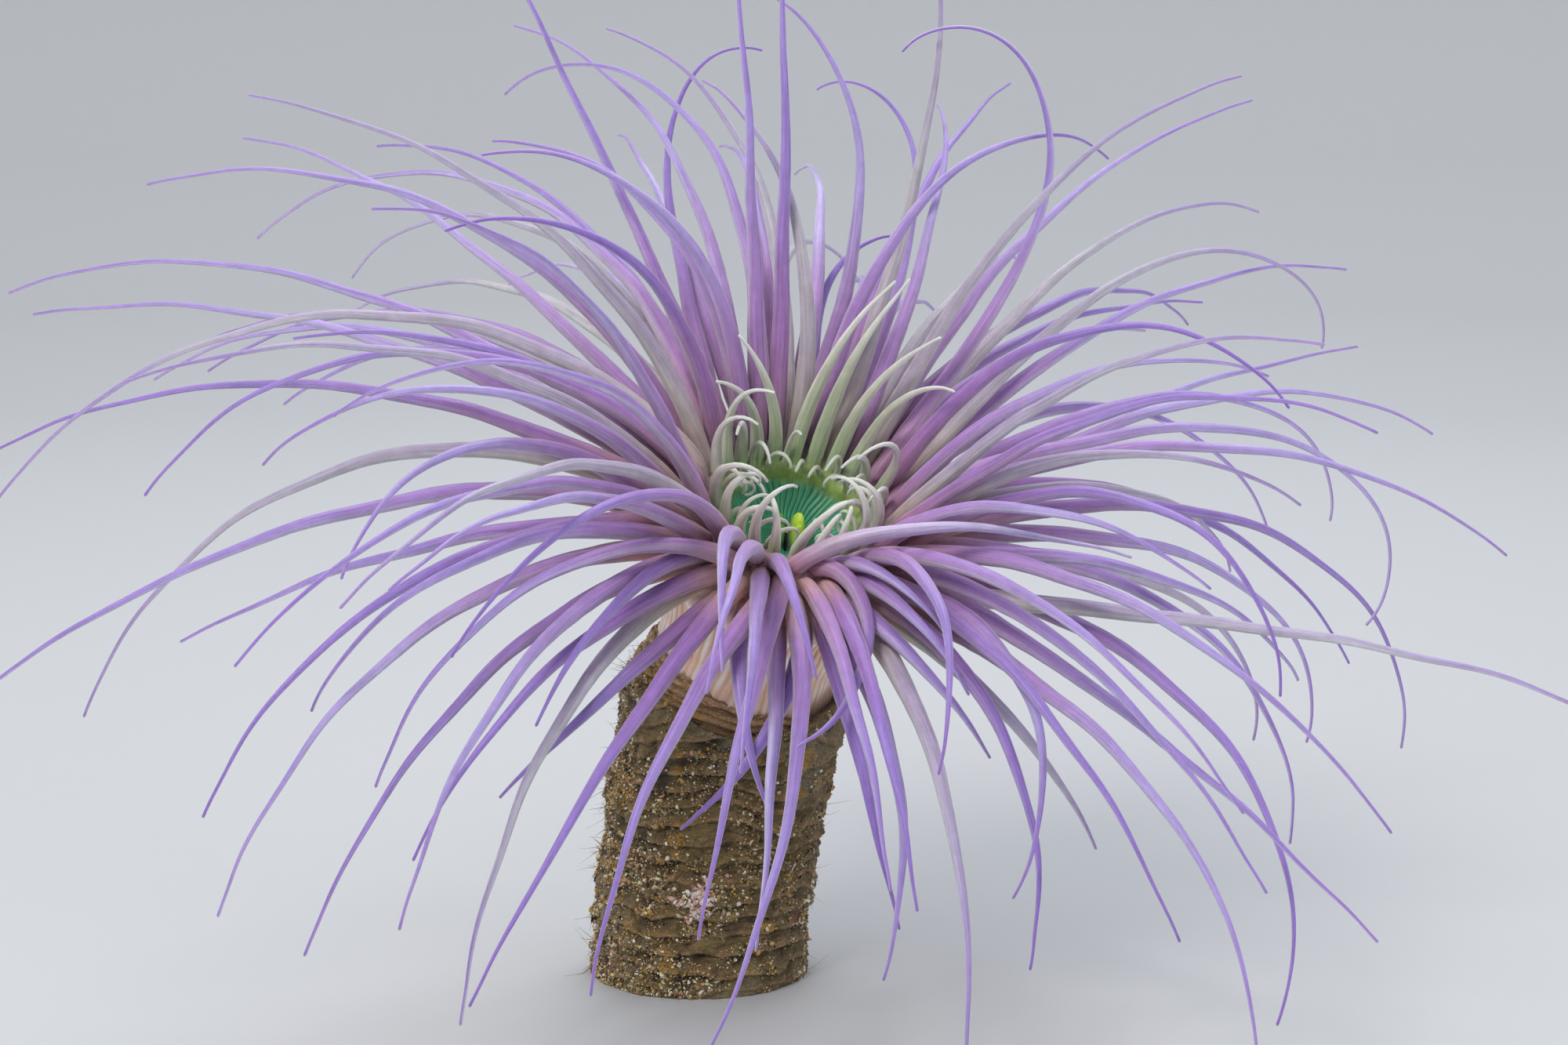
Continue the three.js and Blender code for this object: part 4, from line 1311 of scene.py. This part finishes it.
def many(name, vertices, blocks, flat, colours):
    """One mesh of many small things, from the vertices of each, the faces of one and its flat
    map. On the whole map each thing has a small patch of its own, in rows that don't overlap.
    """
    count, size, _ = vertices.shape
    vertices[..., 2] = np.maximum(vertices[..., 2], ON_FLOOR)
    start = (np.arange(count) * size)[:, None, None]
    numbered = [(block[None] + start).reshape(-1, block.shape[1]) for block in blocks]
    side = math.ceil(math.sqrt(count))
    index = np.arange(count)
    middle = (stack(index % side, index // side)[:, None] + PATCH_MIDDLE) / side
    uv = [middle + flat[..., block.ravel(), :] * PATCH_REACH / side for block in blocks]
    uv = np.concatenate([part.reshape(-1, 2) for part in uv])
    mesh = new_mesh(name, vertices.reshape(-1, 3), numbered, uv)
    paint(mesh, np.repeat(colours, size, axis=0))
    return new_object(mesh)


GRIT = (
    (srgb(228, 214, 178), 0.20),
    (srgb(242, 236, 222), 0.09),
    (srgb(184, 156, 104), 0.24),
    (srgb(192, 146, 56), 0.12),
    (srgb(146, 136, 100), 0.14),
    (srgb(104, 82, 50), 0.12),
    (srgb(40, 34, 28), 0.05),
    (srgb(198, 148, 130), 0.04),
)


def grit_colours(count):
    chosen = random.choice(len(GRIT), count, p=[share for _, share in GRIT])
    light = random.uniform(0.75, 1.15, (count, 1))
    return np.array([colour for colour, _ in GRIT])[chosen] * light


def solid_form(levels):
    """A ball's vertices and triangles, to be knocked out of shape as a grain."""
    made = bpy.data.meshes.new("form")
    shape = bmesh.new()
    if levels:
        bmesh.ops.create_icosphere(shape, subdivisions=levels, radius=1)
    else:
        tops = [shape.verts.new(p) for p in ((0, 0, 1), (0, 0, -1))]
        belt = [shape.verts.new((math.cos(a), math.sin(a), 0)) for a in circle(5)]
        for v, following in zip(belt, belt[1:] + belt[:1]):
            shape.faces.new((tops[0], v, following))
            shape.faces.new((tops[1], following, v))
    shape.to_mesh(made)
    shape.free()
    vertices = np.array([v.co for v in made.vertices])
    faces = np.array([list(face.vertices) for face in made.polygons])
    bpy.data.meshes.remove(made)
    return vertices, faces


def grains(name, bed, count, small, large, form_levels):
    """Many grains as one mesh, each sunk a little in the felt, in its own shape and colour."""
    places, out = spots(bed, count, outside_felt)
    form, faces = solid_form(form_levels)
    size = small * (large / small) ** (random.random(count) ** 2.2)
    knocked = form * random.uniform(0.7, 1.25, (count, len(form), 1))
    squash = stack(*(random.uniform(0.5, 1.3, count) for _ in range(3)))
    turned_form = np.einsum("nij,nvj->nvi", turns(count), knocked * squash[:, None])
    middles = places + out * size[:, None] * 0.25
    vertices = middles[:, None] + turned_form * size[:, None, None]
    return many(name, vertices, [faces], form[:, :2], grit_colours(count))


def threads(name, bed, count, favour):
    """Fine fibres and weed that stand out of the felt, each a thin tapering strand."""
    levels, sides = 5, 3
    places, out = spots(bed, count, favour)
    length = random.uniform(0.5, 2.4, (count, 1, 1))
    heading = units(out + (random.normal(size=(count, 3)) * 0.55 + np.array([0, 0, -0.15])))
    curl = random.normal(size=(count, 3)) * 0.7
    t = np.linspace(0, 1, levels)[None, :, None]
    line = places[:, None] - 0.15 * out[:, None]
    line = line + length * (heading[:, None] * t + curl[:, None] * t * t)
    side = units(np.cross(heading, random.normal(size=(count, 3))))
    other = np.cross(heading, side)
    thick = random.uniform(0.05, 0.11, (count, 1, 1)) * (1 - 0.75 * t)
    round_it = turned(circle(sides), side[:, None], other[:, None])
    vertices = line[:, :, None] + thick[:, :, None] * round_it[:, None]
    quads, _ = grid(levels, sides)
    index = np.arange(levels * sides)
    ends = np.stack([index[:sides][::-1], index[-sides:]])
    flat = stack(index % sides / 2 - 0.5, index // sides / 2 - 1)
    colours = mix(OLIVE, FELT_TAN, random.random((count, 1)))
    return many(name, vertices.reshape(count, -1, 3), [quads, ends], flat, colours)


def flakes(name, bed, count, favour, colours, small, large):
    """Thin chips of shell and torn felt, bent and lying nearly flat on the tube."""
    sides = 7
    places, out = spots(bed, count, favour)
    a = circle(sides)
    reach = random.uniform(0.55, 1.15, (count, sides))
    edge = stack(np.cos(a) * reach, np.sin(a) * reach * 0.7, 0.25 * np.cos(2 * a) * reach)
    top = np.concatenate([edge, np.full((count, 1, 3), (0, 0, 0.12))], axis=1)
    form = np.concatenate([top, top - np.array([0, 0, 0.14])], axis=1)
    tilt = units(out + 0.45 * random.normal(size=(count, 3)))
    x = units(np.cross(tilt, random.normal(size=(count, 3))))
    frames = np.stack([x, np.cross(tilt, x), tilt], axis=1)
    size = random.uniform(small, large, (count, 1, 1))
    middles = places + 0.12 * out
    vertices = middles[:, None] + size * np.einsum("nvj,njk->nvk", form, frames)
    j = np.arange(sides)
    k = (j + 1) % sides
    below_j, below_k = j + sides + 1, k + sides + 1
    faces = (
        stack(sides, j, k),
        stack(2 * sides + 1, below_k, below_j),
        stack(j, below_j, below_k),
        stack(j, below_k, k),
    )
    tone = np.array(colours)[random.integers(0, len(colours), count)]
    tone = tone * random.uniform(0.8, 1.1, (count, 1))
    return many(name, vertices, [np.concatenate(faces)], form[..., :2], tone)


# ---- the scene ----
def dress(piece, material):
    piece.data.materials.clear()
    piece.data.materials.append(material)
    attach(piece, "root")


def make_skin(body):
    paths = grow_tentacles()
    give_room(paths)
    sets = []
    families = {
        "first_and_third": (0, 2),
        "second_and_fourth": (1, 3),
        "inner": (LABIAL_ROW,),
        "hooks": (HOOK_ROW,),
    }
    for name, rows in families.items():
        for parity in (0, 1):
            mine = [path.row in rows and path.slot % 2 == parity for path in paths]
            sets.append(tentacle_mesh(f"{name}_{parity}", paths, np.flatnonzero(mine)))
    skin = join_skin(body, sets)
    finish_skin(skin.data, paths, body)
    dress(skin, skin_material())
    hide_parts(*(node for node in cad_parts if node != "tube"))


def make_tube(column):
    felt, grit, shell = felt_material(), grain_material("grit", 0.6), grain_material("shell", 0.35)
    wall = tube_wall()
    layers = [ruffle(layer, column) for layer in range(RUFFLES)]
    chip_colours = [colour for colour, _ in GRIT]
    pinks = (srgb(240, 214, 206), srgb(226, 178, 170), srgb(244, 236, 226))
    stuck = (
        (grains("fine_sand", wall, 19500, 0.11, 0.30, 0), grit),
        (grains("sand", wall, 5200, 0.22, 0.52, 1), grit),
        (grains("sand_on_layers", layers[0], 1800, 0.10, 0.3, 0), grit),
        (grains("sand_on_upper_layers", layers[2], 800, 0.10, 0.25, 0), grit),
        (flakes("shell_chips", wall, 900, outside_felt, chip_colours, 0.3, 0.9), shell),
        (flakes("pink_shell", wall, 60, near_spot(268, 19, 2.6), pinks, 0.4, 1.2), shell),
        (threads("fibres", wall, 1100, outside_felt), felt),
        (threads("rim_fibres", layers[0], 420, near_rim), felt),
    )
    for piece, material in [(piece, felt) for piece in (wall, *layers)] + list(stuck):
        dress(piece, material)
    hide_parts("tube")


# The studio's floor, which curves up into a wall all round: how far out and how high, in mm.
SWEEP_FAR = np.array([300, 900, 1150, 1330, 1450, 1520, 1550, 1560])
SWEEP_HEIGHT = np.array([0, 0, 22, 90, 200, 350, 600, 1100])
SWEEP_AROUND = 96
# Each light: its place, what it faces, its size, its power in watts and its colour.
LIGHTS = {
    "key": ((-0.42, -0.72, 0.95), (0.02, 0, 0.08), 0.45, 9.5, (1.0, 0.97, 0.93)),
    "fill": ((0.9, -0.6, 0.5), (0.02, 0, 0.08), 0.8, 2.5, (0.92, 0.95, 1.0)),
    "back": ((0.1, 0.6, 1.15), (0.02, 0.2, 0.1), 0.9, 9, (0.95, 0.97, 1.0)),
}


def make_stage():
    """A pale floor that sweeps up all round, under soft lights."""
    rings = ring(circle(SWEEP_AROUND), SWEEP_FAR[:, None], SWEEP_HEIGHT[:, None])
    quads, _ = grid(len(rings), SWEEP_AROUND)
    middle, _ = fan(len(rings) * SWEEP_AROUND, 0, SWEEP_AROUND, turned=False)
    vertices = np.concatenate([rings.reshape(-1, 3), np.zeros((1, 3))])
    mesh = new_mesh("floor", vertices, [quads[:, ::-1], middle])
    make_smooth(mesh)
    paper = Shader("floor_paper", Base_Color=(*srgb(188, 190, 192), 1), Roughness=0.9)
    mesh.materials.append(paper.material)
    new_object(mesh)
    world = bpy.data.worlds.new("studio")
    world.use_nodes = True
    sky = world.node_tree.nodes["Background"].inputs
    sky["Color"].default_value = (*srgb(226, 230, 238), 1)
    sky["Strength"].default_value = 0.7
    bpy.context.scene.world = world
    bpy.context.scene.view_settings.view_transform = "Standard"
    for name, (place, towards, size, power, colour) in LIGHTS.items():
        light = bpy.data.lights.new(name, "AREA")
        light.shape, light.size, light.energy, light.color = "DISK", size, power, colour
        lamp = new_object(light)
        lamp.location = place
        facing = Vector(towards) - Vector(place)
        lamp.rotation_euler = facing.to_track_quat("-Z", "Y").to_euler()


def make_camera():
    """The photograph's view: a little above the crown and level with its middle."""
    lens = bpy.data.cameras.new("camera")
    lens.lens, lens.sensor_width, lens.clip_start = 76.8, 36, 0.01
    camera = new_object(lens)
    camera.location = (0.01605, -0.61878, 0.18435)
    camera.rotation_euler = (math.radians(81), 0, 0)
    bpy.context.scene.camera = camera


make_camera()
make_stage()
flesh = Body()
make_skin(flesh)
make_tube(flesh.column)
